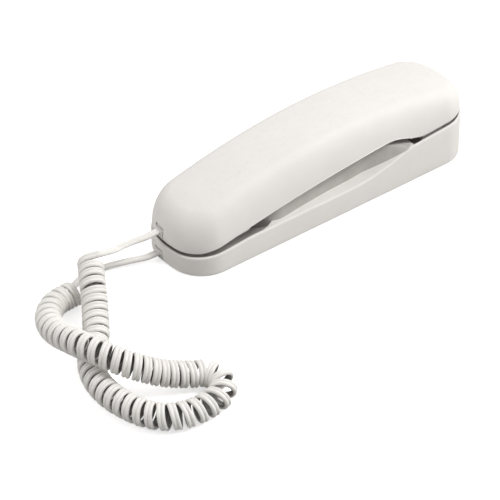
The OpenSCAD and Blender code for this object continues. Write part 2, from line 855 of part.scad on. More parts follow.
module slide_switch_body(x) {
    color(jack_black)
        difference() {
            block([x - switch_body_l / 2, half_w - base_wall - switch_body_d, knob_z - switch_body_h / 2],
                [x + switch_body_l / 2, half_w - base_wall, knob_z + switch_body_h / 2]);
            block([x - switch_body_l / 2 + 1, half_w - base_wall - 1.2 - slide_clear, knob_z - switch_body_h / 2 + 0.5],
                [x + switch_body_l / 2 - 1, half_w, knob_z + switch_body_h / 2 - 0.5]);
        }
}

// ================= Handset =================

shoulder_n = 10;
inner_shoulder_n = 6;
cap_n = 2;

// One level of the arched shell: the outline drawn in by d at the earpiece end and by
// e at the cord end, at share g of its height
function level(d, e, g, drop, rise) =
    [for (p = ring(d, e, side_n))
        [p.x, p.y, seat_z(p.x) + (arch_z(p.x) - drop - seat_z(p.x)) * g + rise]];

// Levels from the lower edge over the shoulder to the crowned top
function shell_levels(inset, less, drop, n, sink) =
    let (d_top = inset + shoulder_high - less, e_top = inset + shoulder_low - less,
        d_in = corner_r - 1.5 - d_top, e_in = corner_r - 1.5 - e_top)
    concat(
        sink > 0 ? [level(inset, inset, 0, drop, -sink)] : [],
        [for (i = [0:n])
            let (t = 90 * i / n, c = 1 - pow(cos(t), 2 / shoulder_power))
            level(inset + (shoulder_high - less) * c, inset + (shoulder_low - less) * c,
                pow(sin(t), 2 / shoulder_power), drop, 0)],
        [for (i = [1:cap_n])
            let (u = i / cap_n, d = d_top + d_in * u, share = (half_w - d) / (half_w - d_top))
            level(d, e_top + e_in * u, 1, drop, top_crown * (1 - share * share))]);

// Joins equal closed levels into a solid. Each cap is a strip between mirrored points
module loft(levels) {
    n = len(levels[0]);
    top = len(levels) - 1;
    half = n / 2;
    sides = [for (k = [0:top - 1], i = [0:n - 1], part = [0, 1])
        let (a = k * n + i, b = k * n + (i + 1) % n)
        part == 0 ? [a, a + n, b] : [b, a + n, b + n]];
    cap = concat(
        [[0, 1, n - 1]],
        [for (i = [1:half - 2], part = [0, 1])
            part == 0 ? [i, i + 1, n - i - 1] : [i, n - i - 1, n - i]],
        [[half - 1, half, half + 1]]);
    polyhedron(
        points = [for (one = levels) for (p = one) p],
        faces = concat(sides, cap, [for (f = cap) [f[2] + top * n, f[1] + top * n, f[0] + top * n]]));
}

// Everything under the grip's bowed edge and the step at the earpiece block
step_n = 12;
grip_n = 14;
grip_edge = concat(
    [for (i = [0:grip_n])
        let (x = grip_x0 + (grip_x1 - grip_x0) * i / grip_n)
        [x, grip_z(x)]],
    [for (i = [1:step_n])
        let (x = grip_x1 + grip_step * i / step_n)
        [x, seat_z(x) + grip_rise * (1 + cos(180 * i / step_n)) / 2]]);

module under_grip() {
    across(concat([[grip_x0, 0]], grip_edge, [[block_x, 0]]));
}

// Bosses, ribs and the socket's holder, all grown down from the shell
module handset_inner_solids() {
    intersection() {
        union() {
            on_rest(mouth_screw_x, mouth_screw_y)
                translate([0, 0, face_t])
                    cylinder(r = boss_r, h = tall);
            on_panel(panel_screw_along)
                translate([0, 0, face_t])
                    cylinder(r = boss_r, h = tall);
            on_panel()
                for (x = [-rib_along, rib_along])
                    difference() {
                        block([x - rib_t / 2, -weight_w / 2 - 2.4, weight_z + 1.5],
                            [x + rib_t / 2, weight_w / 2 + 2.4, tall]);
                        block([x - rib_t, -weight_w / 2 - part_clear, 0],
                            [x + rib_t, weight_w / 2 + part_clear, weight_z + weight_t]);
                    }
            difference() {
                block([handset_jack_x + 1, jack_y - jack_w / 2 - holder_t, handset_jack_z],
                    [handset_jack_x + jack_len + holder_t, jack_y + jack_w / 2 + holder_t, tall]);
                block([-half_len, jack_y - jack_w / 2 - part_clear, 0],
                    [handset_jack_x + jack_len + part_clear, jack_y + jack_w / 2 + part_clear,
                        handset_jack_z + handset_jack_h / 2]);
            }
        }
        loft(shell_levels(handset_inset + shell_t / 2, 0, shell_t / 2, inner_shoulder_n, 0));
    }
}

module handset_back() {
    color(shell_white)
        difference() {
            union() {
                difference() {
                    loft(shell_levels(handset_inset, 0, 0, shoulder_n, 0));
                    loft(shell_levels(handset_inset + shell_t, shell_t / 2, shell_t,
                        inner_shoulder_n, 2 * shell_t));
                    under_grip();
                }
                handset_inner_solids();
            }
            on_rest(mouth_screw_x, mouth_screw_y)
                cylinder(r = screw_r - fit_clear, h = face_t + 7);
            on_panel(panel_screw_along)
                cylinder(r = screw_r - fit_clear, h = face_t + 7);
            block([-half_len, jack_y - plug_w / 2 - 0.4, handset_jack_z - plug_h / 2 - 0.4],
                [handset_jack_x, jack_y + plug_w / 2 + 0.4, handset_jack_z + plug_h / 2 + 0.4]);
        }
}

// The face: mouthpiece plate, keypad panel and earpiece plate in one bent sheet
face_d = handset_inset + shell_t + face_clear;
panel_d = face_d + 2;
ear_ramp_x = 57 * stretch;
face_edge = [[-half_len, rest_z(-half_len)],
    [panel_x0 - 2, rest_z(panel_x0 - 2)],
    [panel_x0 + 6, panel_z(panel_x0 + 6)],
    [panel_x1, panel_z(panel_x1)],
    [ear_ramp_x, rest_z(ear_ramp_x)],
    [half_len, rest_z(half_len)]];

module face_sheet() {
    intersection() {
        across(concat(face_edge, [for (i = [len(face_edge) - 1:-1:0]) face_edge[i] + [0, face_t]]));
        union() {
            linear_extrude(tall)
                outline(face_d);
        }
        // The panel lies deeper in the shell, where the shoulder leaves less room
        difference() {
            translate([0, 0, -over])
                linear_extrude(tall + 2 * over)
                    outline(0);
            for (side = [-1, 1])
                block([panel_x0 + 2, side * (half_w - panel_d / 2) - panel_d / 2, -tall],
                    [ear_ramp_x - 1, side * (half_w - panel_d / 2) + panel_d / 2, 2 * tall]);
        }
    }
}

ear_ring_r = receiver_r + fit_clear + 1.4;
ear_lip = 2.2;
module ear_cup() {
    on_rest(ear_x) {
        // Dished ring that the ear touches
        rotate_extrude()
            polygon([[ear_ring_r - 5.5, face_t], [ear_ring_r - 5.5, -0.6], [ear_ring_r - 3, -ear_lip],
                [ear_ring_r - 1.4, -ear_lip], [ear_ring_r, -ear_lip + 1.2], [ear_ring_r, face_t]]);
        // Wall round the receiver
        difference() {
            cylinder(r = ear_ring_r, h = face_t + 6);
            translate([0, 0, -over])
                cylinder(r = receiver_r + fit_clear, h = tall);
        }
    }
}

module sound_holes(r, circle_r, count) {
    cylinder(r = r, h = tall, center = true);
    for (i = [0:count - 1])
        rotate([0, 0, 360 * i / count])
            translate([circle_r, 0, 0])
                cylinder(r = r, h = tall, center = true);
}

module screw_recess() {
    cylinder(r = screw_r + 0.2, h = tall, center = true);
    translate([0, 0, -tall])
        cylinder(r = screw_head_r + 0.3, h = tall + screw_head_t);
}

// Places of the keys on the panel: name, along, across, length
key_rows = [["1", "2", "3"], ["4", "5", "6"], ["7", "8", "9"], ["star", "0", "hash"], ["flash", "redial", "mute"]];
function key_along(row) = row < 4 ? rows_top - row * key_pitch_x : func_row;
function key_len(row) = row < 4 ? key_l : func_l;

module key_windows() {
    for (row = [0:4], col = [-1:1])
        on_panel(key_along(row), col * key_pitch_y)
            block([-key_len(row) / 2 - slide_clear, -key_w / 2 - slide_clear, -4 * over],
                [key_len(row) / 2 + slide_clear, key_w / 2 + slide_clear, face_t + over]);
}

module handset_face() {
    color(inner_white)
        difference() {
            union() {
                face_sheet();
                ear_cup();
                // Stakes that hold the keypad's board and mat
                on_panel(hpcb_along)
                    for (x = [-stake_along, stake_along], y = [-stake_y, stake_y])
                        translate([x, y, face_t - over])
                            cylinder(r = stake_r, h = hpcb_z + pcb_t + 0.6 - face_t + over);
            }
            key_windows();
            on_rest(ear_x)
                sound_holes(1, 5, 6);
            on_rest(mic_x, mic_y)
                sound_holes(0.6, 2.4, 6);
            on_rest(mouth_screw_x, mouth_screw_y)
                screw_recess();
            on_panel(panel_screw_along)
                screw_recess();
            block([-half_len, jack_y - jack_w / 2 - part_clear, 0],
                [handset_jack_x + jack_len + part_clear, jack_y + jack_w / 2 + part_clear, tall]);
            // Notch that the wall hook catches
            block([clip_x - 1, -clip_w / 2 - 1, 0], [half_len, clip_w / 2 + 1, tall]);
        }
}

module handset_screws() {
    color(steel) {
        on_rest(mouth_screw_x, mouth_screw_y)
            translate([0, 0, screw_head_t])
                screw(screw_r - fit_clear, 6.5, screw_head_r, screw_head_t);
        on_panel(panel_screw_along)
            translate([0, 0, screw_head_t])
                screw(screw_r - fit_clear, 6.5, screw_head_r, screw_head_t);
    }
}

module board_holes() {
    for (x = [-stake_along, stake_along], y = [-stake_y, stake_y])
        translate([x, y, 0])
            cylinder(r = stake_r + fit_clear, h = tall);
}

module handset_pcb() {
    color(circuit_green)
        on_panel(hpcb_along)
            difference() {
                union() {
                    block([-hpcb_l / 2, -hpcb_w / 2, hpcb_z], [hpcb_l / 2, hpcb_w / 2, hpcb_z + pcb_t]);
                    block([-8, -4, hpcb_z + pcb_t - fit_clear], [10, 4, hpcb_z + pcb_t + 2.6]);
                    block([1 - hpcb_l / 2, -6, hpcb_z + pcb_t - fit_clear], [6 - hpcb_l / 2, 6, hpcb_z + pcb_t + 5]);
                }
                board_holes();
                // Room for the boss of the panel's screw
                translate([panel_screw_along - hpcb_along, 0, 0])
                    cylinder(r = boss_r + 0.6, h = tall);
            }
}

module keypad_mat() {
    color(rubber_grey)
        on_panel(hpcb_along)
            difference() {
                block([-hpcb_l / 2 + 1, -hpcb_w / 2 + 0.5, mat_z], [rows_top + key_l, hpcb_w / 2 - 0.5, mat_z + mat_t]);
                board_holes();
            }
}

module key(row, col) {
    l = key_len(row);
    edge = 0.6;
    color(key_grey)
        on_panel(key_along(row), col * key_pitch_y) {
            block([-l / 2, -key_w / 2, -key_out + edge], [l / 2, key_w / 2, key_flange_z + key_flange_t]);
            block([-l / 2 + edge, -key_w / 2 + edge, -key_out], [l / 2 - edge, key_w / 2 - edge, over]);
            block([-l / 2 - flange_edge, -key_w / 2 - flange_edge, key_flange_z],
                [l / 2 + flange_edge, key_w / 2 + flange_edge, key_flange_z + key_flange_t]);
        }
}

module receiver() {
    color(jack_black)
        on_rest(ear_x)
            translate([0, 0, face_t + 1])
                rotate_extrude()
                    polygon([[0, 0.4], [receiver_r - 4, 0.4], [receiver_r - 3, 0], [receiver_r, 0],
                        [receiver_r, receiver_h * 0.5], [receiver_r * 0.6, receiver_h * 0.7],
                        [receiver_r * 0.6, receiver_h], [0, receiver_h]]);
}

module receiver_gasket() {
    color(rubber_grey)
        on_rest(ear_x)
            translate([0, 0, face_t])
                difference() {
                    cylinder(r = receiver_r, h = 1);
                    translate([0, 0, -over])
                        cylinder(r = receiver_r - 4, h = 2);
                }
}

module microphone() {
    color(steel)
        on_rest(mic_x, mic_y)
            translate([0, 0, face_t])
                cylinder(r = mic_r, h = mic_h);
}

module microphone_boot() {
    color(rubber_grey)
        on_rest(mic_x, mic_y)
            translate([0, 0, face_t])
                difference() {
                    cylinder(r = mic_r + fit_clear + boot_t, h = boot_h);
                    translate([0, 0, -over])
                        cylinder(r = mic_r + fit_clear, h = tall);
                }
}

module handset_cord_jack() {
    color(jack_black)
        translate([handset_jack_x, jack_y, handset_jack_z])
            cord_socket(handset_jack_h);
}

module handset_cord_plug() {
    color(plug_clear)
        translate([handset_plug_x, jack_y, handset_jack_z])
            cord_plug();
}

module handset_weight() {
    color(steel)
        on_panel()
            block([-weight_l / 2, -weight_w / 2, weight_z], [weight_l / 2, weight_w / 2, weight_z + weight_t]);
}

// ================= Springs and cord =================

// A ring of n points round p, in the plane across t, flat along the normal nrm
function oval(p, t, nrm, w, h, n) =
    let (side = cross(nrm, t) / norm(cross(nrm, t)), up = cross(t, side) / norm(t), grow = 1 / cos(180 / n))
    [for (i = [0:n - 1])
        let (a = 360 * (i + 0.5) / n)
        p + side * (w / 2 * cos(a) * grow) + up * (h / 2 * sin(a) * grow)];

// Skins a run of equal rings, with a fan at each end
module skin(rings) {
    n = len(rings[0]);
    last = len(rings) - 1;
    polyhedron(
        points = [for (r = rings) for (p = r) p],
        faces = concat(
            [for (k = [0:last - 1], i = [0:n - 1], part = [0, 1])
                let (a = k * n + i, b = k * n + (i + 1) % n)
                part == 0 ? [a, a + n, b] : [b, a + n, b + n]],
            [for (i = [1:n - 2]) [0, i, i + 1]],
            [for (i = [1:n - 2]) [last * n, last * n + i + 1, last * n + i]]));
}

module hook_spring() {
    steps = spring_turns * 10;
    low = spring_seat + spring_wire / 2;
    high = flange_low - spring_wire / 2;
    color(steel)
        translate([plunger_x, 0, 0])
            skin([for (i = [0:steps])
                let (a = 360 * spring_turns * i / steps, z = low + (high - low) * i / steps,
                    out = [cos(a), sin(a), 0], along = [-sin(a), cos(a), (high - low) / (spring_turns * 6.28 * spring_r)])
                oval(out * spring_r + [0, 0, z], along, out, spring_wire, spring_wire, 6)]);
}

// Catmull-Rom point between b and c
function spline(a, b, c, d, t) =
    ((2 * b) + (c - a) * t + (2 * a - 5 * b + 4 * c - d) * t * t + (3 * b - a - 3 * c + d) * t * t * t) / 2;

// A smooth run through points, with n steps between each two
function smooth(points, n) =
    let (last = len(points) - 1)
    concat(
        [for (k = [0:last - 1], i = [0:n - 1])
            spline(points[max(k - 1, 0)], points[k], points[k + 1], points[min(k + 2, last)], i / n)],
        [points[last]]);

// Route of the curls' axis from the handset's lead to the base's: x, y, z and
// how far apart the curls lie there
curl_route = [
    [-152.5, 2, 22, 6],
    [-160, -11, 18, 6.3],
    [-164, -18, 13.5, 6.3],
    [-169.5, -27, 10, 6.3],
    [-177, -38, 8, 6.3],
    [-184.5, -46, 7.7, 6.3],
    [-191.5, -55, 7.7, 6.3],
    [-196, -67, 7.7, 6.3],
    [-197, -80, 7.7, 6.3],
    [-195, -92, 7.7, 6.3],
    [-191, -103, 7.7, 6.3],
    [-184.5, -111.5, 7.7, 6.3],
    [-175.5, -116.5, 7.7, 6.5],
    [-165.5, -118, 7.7, 7],
    [-155.5, -117, 7.7, 9],
    [-148, -112.5, 7.7, 11.4],
    [-145.5, -105.5, 7.8, 13],
    [-148.5, -98, 8, 12],
    [-155.5, -94.5, 9, 7.4],
    [-163, -91.5, 11, 5.2],
    [-170.5, -87.5, 13.5, 5.2],
    [-178, -82.5, 17, 5.3],
    [-185, -76, 20.3, 5.9],
    [-190.5, -68, 23, 6.3],
    [-194.5, -57, 23.2, 6.6],
    [-196, -45, 20.5, 6.9],
    [-195.5, -32, 16, 7],
    [-193, -19, 12, 7.6],
    [-187.5, -8, 9.2, 8.8],
    [-179, -0.5, 8, 8.8],
    [-170, 1, 7.9, 7.2],
    [-165, 1, 7.9, 6.2]];

rings_per_curl = 8;
curl_r = (curl_d - cord_t) / 2;
start_angle = 90;
end_angle = 270;
curls_in_all = curl_count + (end_angle - start_angle) / 360;

// The cord moves with the cord end of the base
cord_dx = (drawn_len - base_len) / 2;
axis_points = smooth([for (p = curl_route) p + [cord_dx, 0, 0, 0]], 8);
axis_n = len(axis_points) - 1;
function xyz(p) = [p.x, p.y, p.z];
// Running totals along the axis: its length, and the curls that fit at the spacings given
axis_len = [for (i = 0, s = 0; i <= axis_n;
    i = i + 1, s = i > axis_n ? s : s + norm(xyz(axis_points[i]) - xyz(axis_points[i - 1]))) s];
axis_turns = [for (i = 0, s = 0; i <= axis_n;
    i = i + 1, s = i > axis_n ? s : s + (axis_len[i] - axis_len[i - 1]) / axis_points[i][3]) s];
length_at_turn = [for (i = [0:axis_n]) [axis_turns[i] * curls_in_all / axis_turns[axis_n], axis_len[i]]];
axis_x = [for (i = [0:axis_n]) [axis_len[i], axis_points[i].x]];
axis_y = [for (i = [0:axis_n]) [axis_len[i], axis_points[i].y]];
axis_z = [for (i = [0:axis_n]) [axis_len[i], axis_points[i].z]];
function axis_at(s) = [lookup(s, axis_x), lookup(s, axis_y), lookup(s, axis_z)];
function axis_way(s) =
    let (a = max(s - 1.5, 0), b = min(s + 1.5, axis_len[axis_n]), v = axis_at(b) - axis_at(a))
    v / norm(v);

// Outward direction of the curl at length s and angle a round the axis
function curl_out(s, a) =
    let (t = axis_way(s), side = cross([0, 0, 1], t) / norm(cross([0, 0, 1], t)), up = cross(t, side))
    side * cos(a) + up * sin(a);
function curl_point(turn) =
    let (s = lookup(turn, length_at_turn))
    axis_at(s) + curl_r * curl_out(s, start_angle + 360 * turn);
function curl_along(turn) =
    let (a = max(turn - 0.02, 0), b = min(turn + 0.02, curls_in_all), v = curl_point(b) - curl_point(a))
    v / norm(v);
function curl_normal(turn) = curl_out(lookup(turn, length_at_turn), start_angle + 360 * turn);

curl_steps = curls_in_all * rings_per_curl;
straight = cord_w;
curl_start = curl_point(0) - curl_along(0) * straight;
curl_end = curl_point(curls_in_all) + curl_along(curls_in_all) * straight;

function curl_ring(turn, shift = 0) =
    oval(curl_point(turn) + curl_along(turn) * shift, curl_along(turn), curl_normal(turn), cord_w, cord_t, 6);

curl_rings = concat(
    [curl_ring(0, -straight)],
    [for (i = [0:curl_steps]) curl_ring(i / rings_per_curl)],
    [curl_ring(curls_in_all, straight)]);

// Least distance from one curl to the next, over the corners and middles of their rings
function ring_marks(r) = concat(r, [for (i = [0:5]) (r[i] + r[(i + 1) % 6]) / 2]);
neighbour_gap = min([for (k = [0:len(curl_rings) - 12])
    let (here = ring_marks(curl_rings[k]))
    min([for (m = [k + 6:k + 10]) let (next = ring_marks(curl_rings[m]))
        for (p = here) for (q = next) norm(p - q)])]);
// Least distance between two runs of the coil that pass each other
run_gap = min([for (i = [0:axis_n], j = [i + 36:axis_n])
    norm(xyz(axis_points[i]) - xyz(axis_points[j])) - curl_d]);
echo(gap_between_curls = neighbour_gap, gap_between_runs = run_gap, curls = curls_in_all);

module cord_curls() {
    color(shell_white)
        skin(curl_rings);
}

// The uncoiled leads, from the plugs to the curls
handset_lead_route = [
    [handset_plug_x, jack_y, handset_jack_z],
    [handset_plug_x - 4, jack_y, handset_jack_z],
    [-113 + cord_dx, 6, 18.6],
    [-122 + cord_dx, 5, 20.5],
    [-131 + cord_dx, 2, 23.5],
    [-138.5 + cord_dx, -2, 27],
    curl_start - curl_along(0) * 3,
    curl_start];
base_lead_route = [
    [base_plug_x, jack_y, base_jack_z],
    [base_plug_x - 4, jack_y, base_jack_z],
    [-114 + cord_dx, 7, 4.1],
    [-124 + cord_dx, 11.5, 3.4],
    [-136 + cord_dx, 16, 2.4],
    [-148 + cord_dx, 16.5, 2],
    [-158 + cord_dx, 13, 1.9],
    curl_end + curl_along(curls_in_all) * 3,
    curl_end];

// A plain lead: flat side level, first ring square to the plug, last to the curls
module lead(route, last_way) {
    points = smooth(route, 2);
    last = len(points) - 1;
    color(shell_white)
        skin([for (i = [0:last])
            let (way = i == 0 ? [-1, 0, 0] : i == last ? last_way : points[i + 1] - points[i - 1],
                t = way / norm(way))
            oval(points[i], t, [0, 0, 1], cord_w, cord_t, 8)]);
}

module handset_lead() {
    lead(handset_lead_route, curl_along(0));
}

module base_lead() {
    lead(base_lead_route, -curl_along(curls_in_all));
}

base_housing();
base_plate();
base_screws();
rubber_feet();
base_pcb();
pcb_screws();
hook_plunger();
hook_spring();
hook_switch();
wall_hook_clip();
base_cord_jack();
base_cord_plug();
line_jack();
sounder();
slide_knob(ringer_switch_x);  // ringer_switch
slide_switch_body(ringer_switch_x);  // ringer_switch_body
slide_knob(tone_switch_x - knob_travel);  // tone_switch
slide_switch_body(tone_switch_x);  // tone_switch_body
handset_back();
handset_face();
handset_screws();
handset_pcb();
keypad_mat();
receiver();
receiver_gasket();
microphone();
microphone_boot();
handset_cord_jack();
handset_cord_plug();
handset_weight();
for (row = [0:4], col = [0:2])
    key(row, col - 1);
handset_lead();
cord_curls();
base_lead();
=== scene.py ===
from bisect import bisect_right
from itertools import product
from math import asin, atan2, cos, pi, radians, sin, sqrt

import bmesh
import bpy
from mathutils import Matrix, Vector


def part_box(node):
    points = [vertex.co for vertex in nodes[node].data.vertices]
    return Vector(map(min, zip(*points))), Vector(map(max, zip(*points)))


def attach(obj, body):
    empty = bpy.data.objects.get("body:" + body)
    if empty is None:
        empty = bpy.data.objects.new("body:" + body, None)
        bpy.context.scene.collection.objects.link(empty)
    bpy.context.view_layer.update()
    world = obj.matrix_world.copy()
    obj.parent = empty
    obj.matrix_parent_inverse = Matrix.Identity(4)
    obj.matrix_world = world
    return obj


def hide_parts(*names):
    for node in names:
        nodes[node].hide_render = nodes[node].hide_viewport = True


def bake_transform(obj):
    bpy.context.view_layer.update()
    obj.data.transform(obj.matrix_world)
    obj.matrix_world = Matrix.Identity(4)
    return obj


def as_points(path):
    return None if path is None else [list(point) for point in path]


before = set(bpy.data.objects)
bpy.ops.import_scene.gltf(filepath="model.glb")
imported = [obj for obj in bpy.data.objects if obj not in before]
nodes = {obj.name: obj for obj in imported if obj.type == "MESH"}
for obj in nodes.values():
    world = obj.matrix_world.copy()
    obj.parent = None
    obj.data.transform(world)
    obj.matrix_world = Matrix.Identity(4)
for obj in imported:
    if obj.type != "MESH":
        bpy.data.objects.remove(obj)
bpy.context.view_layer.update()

scene = bpy.context.scene


def link(name, data, body=None):
    data.name = name
    piece = bpy.data.objects.new(name, data)
    scene.collection.objects.link(piece)
    if body:
        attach(piece, body)
    return piece


# the origin falls on originX, originY in the picture, and a slope of 1 spans scale pixels
cameraSetup = {"azimuth": -38.92, "elevation": 36.0, "distance": 1.2, "imageSide": 500, "originX": 309.64,
               "originY": 194.48, "scale": 2036.4, "sensor": 36, "nearest": 0.05, "farthest": 20}


def makeCamera(c):
    a, e = radians(c["azimuth"]), radians(c["elevation"])
    back = Vector((sin(a) * cos(e), -cos(a) * cos(e), sin(e)))
    right = Vector((cos(a), sin(a), 0))
    up = back.cross(right)
    middle = c["imageSide"] / 2
    ahead = (-back + right * ((middle - c["originX"]) / c["scale"])
             - up * ((middle - c["originY"]) / c["scale"])).normalized()
    side = ahead.cross(up).normalized()
    data = bpy.data.cameras.new("camera")
    data.sensor_width = c["sensor"]
    data.lens = c["sensor"] * c["scale"] / c["imageSide"]
    data.clip_start, data.clip_end = c["nearest"], c["farthest"]
    camera = link("camera", data)
    turn = Matrix((side, side.cross(ahead), -ahead)).transposed()
    camera.matrix_world = Matrix.Translation(back * c["distance"]) @ turn.to_4x4()
    scene.camera = camera


makeCamera(cameraSetup)
print("camera placed")


def meshFrom(points, faces, smooth=True):
    mesh = bpy.data.meshes.new("made")
    mesh.from_pydata([tuple(p) for p in points], [], faces)
    mesh.validate()
    if smooth:
        mesh.shade_smooth()
    return mesh


def ringFaces(rings, count):
    # quads between each ring of count points and the next
    return [(k * count + i, k * count + (i + 1) % count, (k + 1) * count + (i + 1) % count, (k + 1) * count + i)
            for k in range(rings - 1) for i in range(count)]


def tubeMesh(rings):
    n, last = len(rings[0]), (len(rings) - 1) * len(rings[0])
    ends = [tuple(range(n))[::-1], tuple(last + i for i in range(n))]
    return meshFrom([p for ring in rings for p in ring], ringFaces(len(rings), n) + ends)


def rowsMesh(rows):
    # a closed solid of equal rows, which run round it the other way from a tube's rings
    n, last = len(rows[0]), (len(rows) - 1) * len(rows[0])
    faces = [(a, d, c, b) for a, b, c, d in ringFaces(len(rows), n)]
    ends = [tuple(range(n)), tuple(last + i for i in range(n))[::-1]]
    return meshFrom([p for row in rows for p in row], faces + ends)


def quarterTurn(steps):
    return [pi / 2 * i / steps for i in range(steps + 1)]


def slabMesh(xs, halfAt, topAt, lowAt, columns=6, edgeRound=0.0, arc=5):
    # a solid made of rows across the phone, with rounded long edges where edgeRound isn't 0
    rows = []
    for x in xs:
        w, top, low = halfAt(x), topAt(x), lowAt(x)
        r = min(edgeRound, w * 0.9, max(0, (top - low) * 0.9))
        turns = quarterTurn(arc) if r else [pi / 2]
        edge = [(-w, low)] + [(-w + r * (1 - cos(a)), top - r * (1 - sin(a))) for a in turns]
        inner = [(-w + r + 2 * (w - r) * j / columns, top) for j in range(1, columns)]
        mirrored = [(-y, z) for y, z in reversed(edge)]
        rows.append([(x, y, z) for y, z in edge + inner + mirrored])
    return rowsMesh(rows)


def rod(name, x, radius, height, sides=48):
    turns = [2 * pi * i / sides for i in range(sides)]
    rings = [[(x + radius * cos(a), radius * sin(a), z) for a in turns] for z in (0, height)]
    return link(name, tubeMesh(rings))


def finalMesh(piece):
    return bpy.data.meshes.new_from_object(piece.evaluated_get(bpy.context.evaluated_depsgraph_get()))


def applyCut(piece, cutter):
    cut = piece.modifiers.new("cut", "BOOLEAN")
    cut.operation, cut.solver, cut.object = "DIFFERENCE", "EXACT", cutter
    made = finalMesh(piece)
    piece.modifiers.clear()
    piece.data = made
    bpy.data.objects.remove(cutter)


def cutAway(piece, low, high):
    # cuts the box from low to high out of a piece
    faces = [(0, 1, 3, 2), (4, 6, 7, 5), (0, 4, 5, 1), (2, 3, 7, 6), (0, 2, 6, 4), (1, 5, 7, 3)]
    applyCut(piece, link("cutter", meshFrom(product(*zip(low, high)), faces, False)))


def linkOutward(name, mesh, body=None):
    # links a piece whose faces are all turned to the outside
    work = bmesh.new()
    work.from_mesh(mesh)
    bmesh.ops.recalc_face_normals(work, faces=work.faces)
    work.to_mesh(mesh)
    work.free()
    return link(name, mesh, body)


def sharpen(piece, angle=35):
    # smooth faces with sharp edges kept where the surface turns more than angle
    mesh = piece.data
    for face in mesh.polygons:
        face.use_smooth = True
    mesh.set_sharp_from_angle(angle=radians(angle))


cordSetup = {
    "width": 0.0044, "thick": 0.0025, "web": 0.0013, "lobeShares": (1, 0.96, 0.86, 0.7, 0.5, 0.3, 0.16, 0.06),
    "curlAcross": 0.0148, "curls": 56.5, "startAngle": 90,
    "routeSteps": 8, "ringsPerCurl": 28, "leadSteps": 10, "sharpAngle": 60,
    "axisReach": 0.0015, "turnReach": 0.02,  # how far apart the two points are that give a direction
    "straight": 0.0034, "tipRun": 0.003, "plugIn": 0.002, "plugOut": 0.004, "twistFrom": 0.7, "twistRun": 0.3,
    # how deep the painted shade reaches into the strand's inner side, and how much of it is taken off
    "paintedShadeDepth": 0.6, "paintedShadeLess": 0.1,
    "route": [  # place of the curls' axis, and the distance from curl to curl there
        (-0.1525, 0.002, 0.022, 0.0056), (-0.160, -0.011, 0.0182, 0.0054), (-0.164, -0.018, 0.0142, 0.0057),
        (-0.1695, -0.027, 0.0104, 0.0061), (-0.177, -0.038, 0.008, 0.0063), (-0.1845, -0.046, 0.0077, 0.0063),
        (-0.1915, -0.055, 0.0077, 0.0063), (-0.196, -0.067, 0.0077, 0.0063), (-0.197, -0.080, 0.0077, 0.0063),
        (-0.195, -0.092, 0.0077, 0.0063), (-0.191, -0.103, 0.0077, 0.0063), (-0.1845, -0.1115, 0.0077, 0.0063),
        (-0.1755, -0.1165, 0.0077, 0.0065), (-0.1655, -0.118, 0.0077, 0.007), (-0.1555, -0.117, 0.0077, 0.0078),
        (-0.148, -0.1125, 0.0077, 0.0080), (-0.1455, -0.1055, 0.0078, 0.0078), (-0.1485, -0.098, 0.008, 0.0072),
        (-0.1555, -0.0945, 0.009, 0.0062), (-0.163, -0.0915, 0.011, 0.0052), (-0.1705, -0.0875, 0.0135, 0.0052),
        (-0.178, -0.0825, 0.017, 0.0053), (-0.185, -0.076, 0.0203, 0.0059), (-0.1905, -0.068, 0.023, 0.0063),
        (-0.1945, -0.057, 0.0232, 0.0066), (-0.196, -0.045, 0.0205, 0.0069), (-0.1955, -0.032, 0.016, 0.007),
        (-0.193, -0.019, 0.012, 0.0072), (-0.1875, -0.008, 0.0092, 0.0070), (-0.179, -0.0005, 0.008, 0.0064),
        (-0.170, 0.001, 0.0079, 0.0058), (-0.165, 0.001, 0.0079, 0.0056)],
    "handsetLead": [(-0.113, 0.006, 0.0186), (-0.122, 0.005, 0.0205), (-0.131, 0.002, 0.0235),
                    (-0.1385, -0.002, 0.027)],
    "baseLead": [(-0.114, 0.007, 0.0041), (-0.124, 0.0115, 0.0034), (-0.136, 0.016, 0.0024),
                 (-0.148, 0.0165, 0.002), (-0.158, 0.013, 0.0019)]}


def splinePoint(a, b, c, d, t):
    return tuple((2 * q + (r - p) * t + (2 * p - 5 * q + 4 * r - s) * t * t
                  + (3 * q - p - 3 * r + s) * t * t * t) / 2 for p, q, r, s in zip(a, b, c, d))


def smoothRun(points, steps):
    last = len(points) - 1
    run = [splinePoint(points[max(k - 1, 0)], points[k], points[k + 1], points[min(k + 2, last)], i / steps)
           for k in range(last) for i in range(steps)]
    return run + [tuple(points[last])]


def lookUp(x, xs, ys):
    # the value at x on the line through the points
    if x <= xs[0] or x >= xs[-1]:
        return ys[0] if x <= xs[0] else ys[-1]
    k = bisect_right(xs, x)
    return ys[k - 1] + (ys[k] - ys[k - 1]) * ((x - xs[k - 1]) / (xs[k] - xs[k - 1]))


def flatRing(centre, along, flatWay, c):
    # two round lobes joined by a thin web, flat across flatWay
    side = flatWay.cross(along).normalized()
    up = along.cross(side).normalized()
    lobe = c["width"] / 4

    def halfThick(x):
        bulge = c["thick"] / 2 * sqrt(max(0, 1 - ((abs(x) - lobe) / lobe) ** 2))
        return max(c["web"] / 2, bulge) if abs(x) < lobe else bulge
    across = [2 * lobe * share for share in c["lobeShares"]]
    across += [-x for x in reversed(across)]
    outline = [(x, halfThick(x)) for x in across] + [(x, -halfThick(x)) for x in across[-2:0:-1]]
    return [centre + side * x + up * y for x, y in outline]


def runLength(path):
    return sum((Vector(b) - Vector(a)).length for a, b in zip(path, path[1:]))


